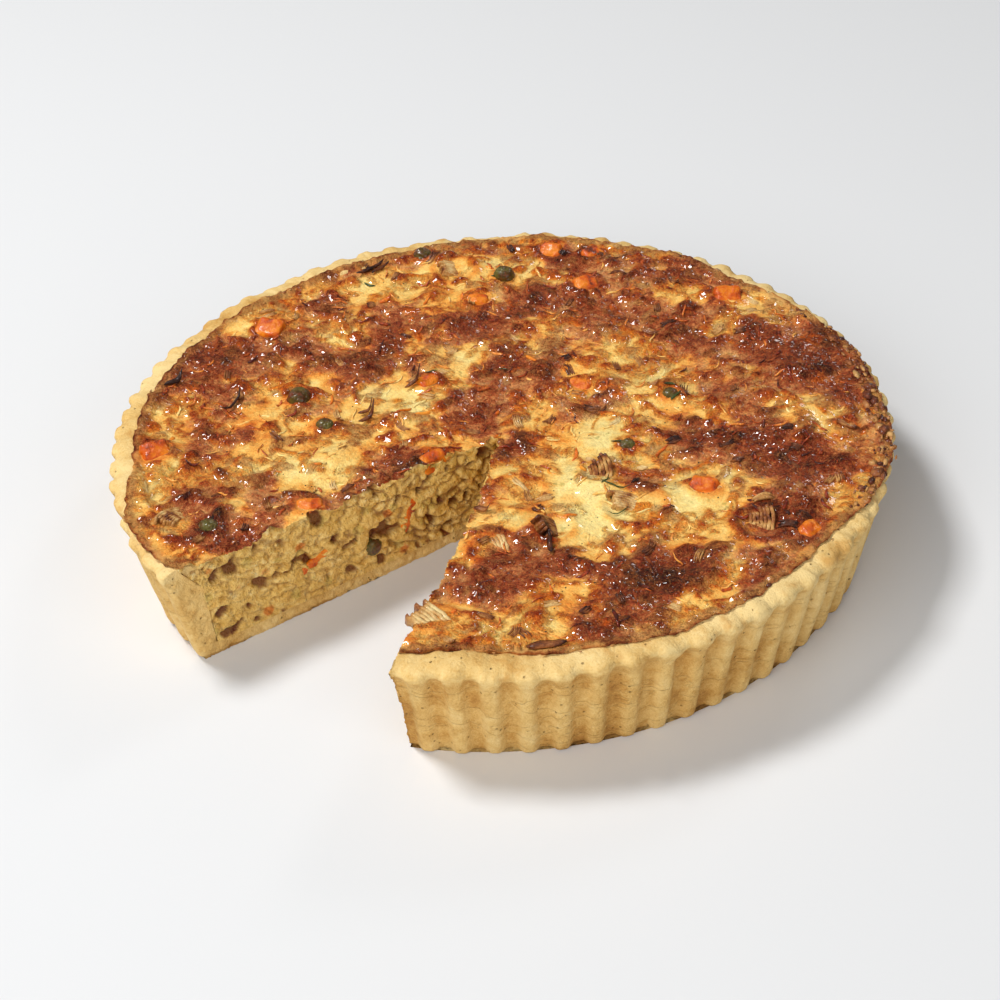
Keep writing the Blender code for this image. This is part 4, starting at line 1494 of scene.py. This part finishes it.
def add_studio():
    bm = bmesh.new()
    bmesh.ops.create_circle(bm, cap_ends=True, segments=96, radius=FLOOR_REACH)
    mesh = bpy.data.meshes.new("floor")
    bm.to_mesh(mesh)
    bm.free()
    floor = bpy.data.objects.new("floor", mesh)
    bpy.context.scene.collection.objects.link(floor)
    material, tree, shader = new_material("pale_floor")
    shader.inputs["Base Color"].default_value = (0.755, 0.76, 0.765, 1)
    shader.inputs["Roughness"].default_value = 0.7
    shader.inputs["Specular IOR Level"].default_value = 0.2
    mesh.materials.append(material)
    for light in LIGHTS:
        add_light(*light)
    world = bpy.data.worlds.new("studio")
    bpy.context.scene.world = world
    world.use_nodes = True
    world.node_tree.nodes["Background"].inputs["Color"].default_value = (0.96, 0.98, 1.0, 1)
    world.node_tree.nodes["Background"].inputs["Strength"].default_value = WORLD_STRENGTH
    bpy.context.scene.view_settings.view_transform = "Standard"


def add_camera():
    data = bpy.data.cameras.new("camera")
    data.lens = CAMERA_LENS
    camera = bpy.data.objects.new("camera", data)
    bpy.context.scene.collection.objects.link(camera)
    camera.location = from_camera_side(*CAMERA_PLACE)
    aim(camera, from_camera_side(*CAMERA_AIM))
    camera.rotation_euler.rotate_axis("Z", CAMERA_ROLL)
    bpy.context.scene.camera = camera


def dress(pieces, *materials):
    for piece in pieces:
        for material in materials:
            piece.data.materials.append(material)


def main():
    field = TopField()
    fibres, browning = fibre_patches(), oven_browning()
    cut_custard = cut_material()
    dress(make_top(field), browned_material(fibres), cut_custard)
    dress([make_filling()], cut_custard, cut_custard)
    dress([make_shell()], pastry_material("pastry", False), pastry_material("pastry_crumb", True))
    toppings = make_toppings()
    dress(toppings["pea"], vegetable_material("baked_pea", ("4C4616", "70682A"), 0.46, browning, 0.9))
    dress(toppings["carrot"], vegetable_material("baked_carrot", ("E0720C", "EE8C1E"), 0.40, browning, 0.25))
    dress(toppings["leek"], shred_material("baked_leek", LEEKS_BAKED, 0.4))
    cheese = shred_material("baked_cheese", TOASTED, 0.7)
    dress([make_shreds(
        "cheese_shreds", field, 11, 520, (0.0014, 0.0040), (0.00020, 0.0006), (0.00015, 0.0004),
        (-0.0003, 0.0003), 0.0004, -0.04,
    )], cheese)
    dress([make_shreds(
        "leek_shreds", field, 12, 110, (0.0018, 0.0042), (0.00030, 0.00045), (0.00035, 0.0007),
        (-0.0003, 0.0004), 0.0001, 0.06, bundle=4,
    )], shred_material("leek_shred", LEEKS_BAKED, 0.4))
    dress([make_shreds(
        "carrot_shreds", field, 13, 45, (0.0014, 0.0036), (0.0006, 0.0011), (0.0004, 0.0007),
        (-0.0004, 0.0002), 0.0002, 0.06,
    )], shred_material("carrot_shred", CARROTS_BAKED, 0.6))
    dress([make_shreds(
        "burnt_shreds", field, 14, 60, (0.0014, 0.0036), (0.0003, 0.0008), (0.00020, 0.0004),
        (0.0000, 0.0004), 0.0004, 0.32,
    )], cheese)
    dress([make_placed_strands("burnt_leek", field, BURNT_STRIPS, 0.40, 0.0002)], shred_material(
        "burnt_leek", LEEKS_BAKED, 0.3
    ))
    dress([make_placed_strands("herb_stalks", field, HERB_STALKS, 0.0, 0.0003)], vegetable_material(
        "herb", ("2E3A12", "4A5A20"), 0.25, browning
    ))
    dress([make_specks("pepper", field, 15, 420, (0.00018, 0.00040))], vegetable_material("ground_pepper", ("2A1C14", "120C0A"), 0.3, browning, 0.1))
    dress([make_crisp_edge()], shred_material("crisp_filling", EDGE_BAKED, 0.6))
    add_studio()
    add_camera()


main()
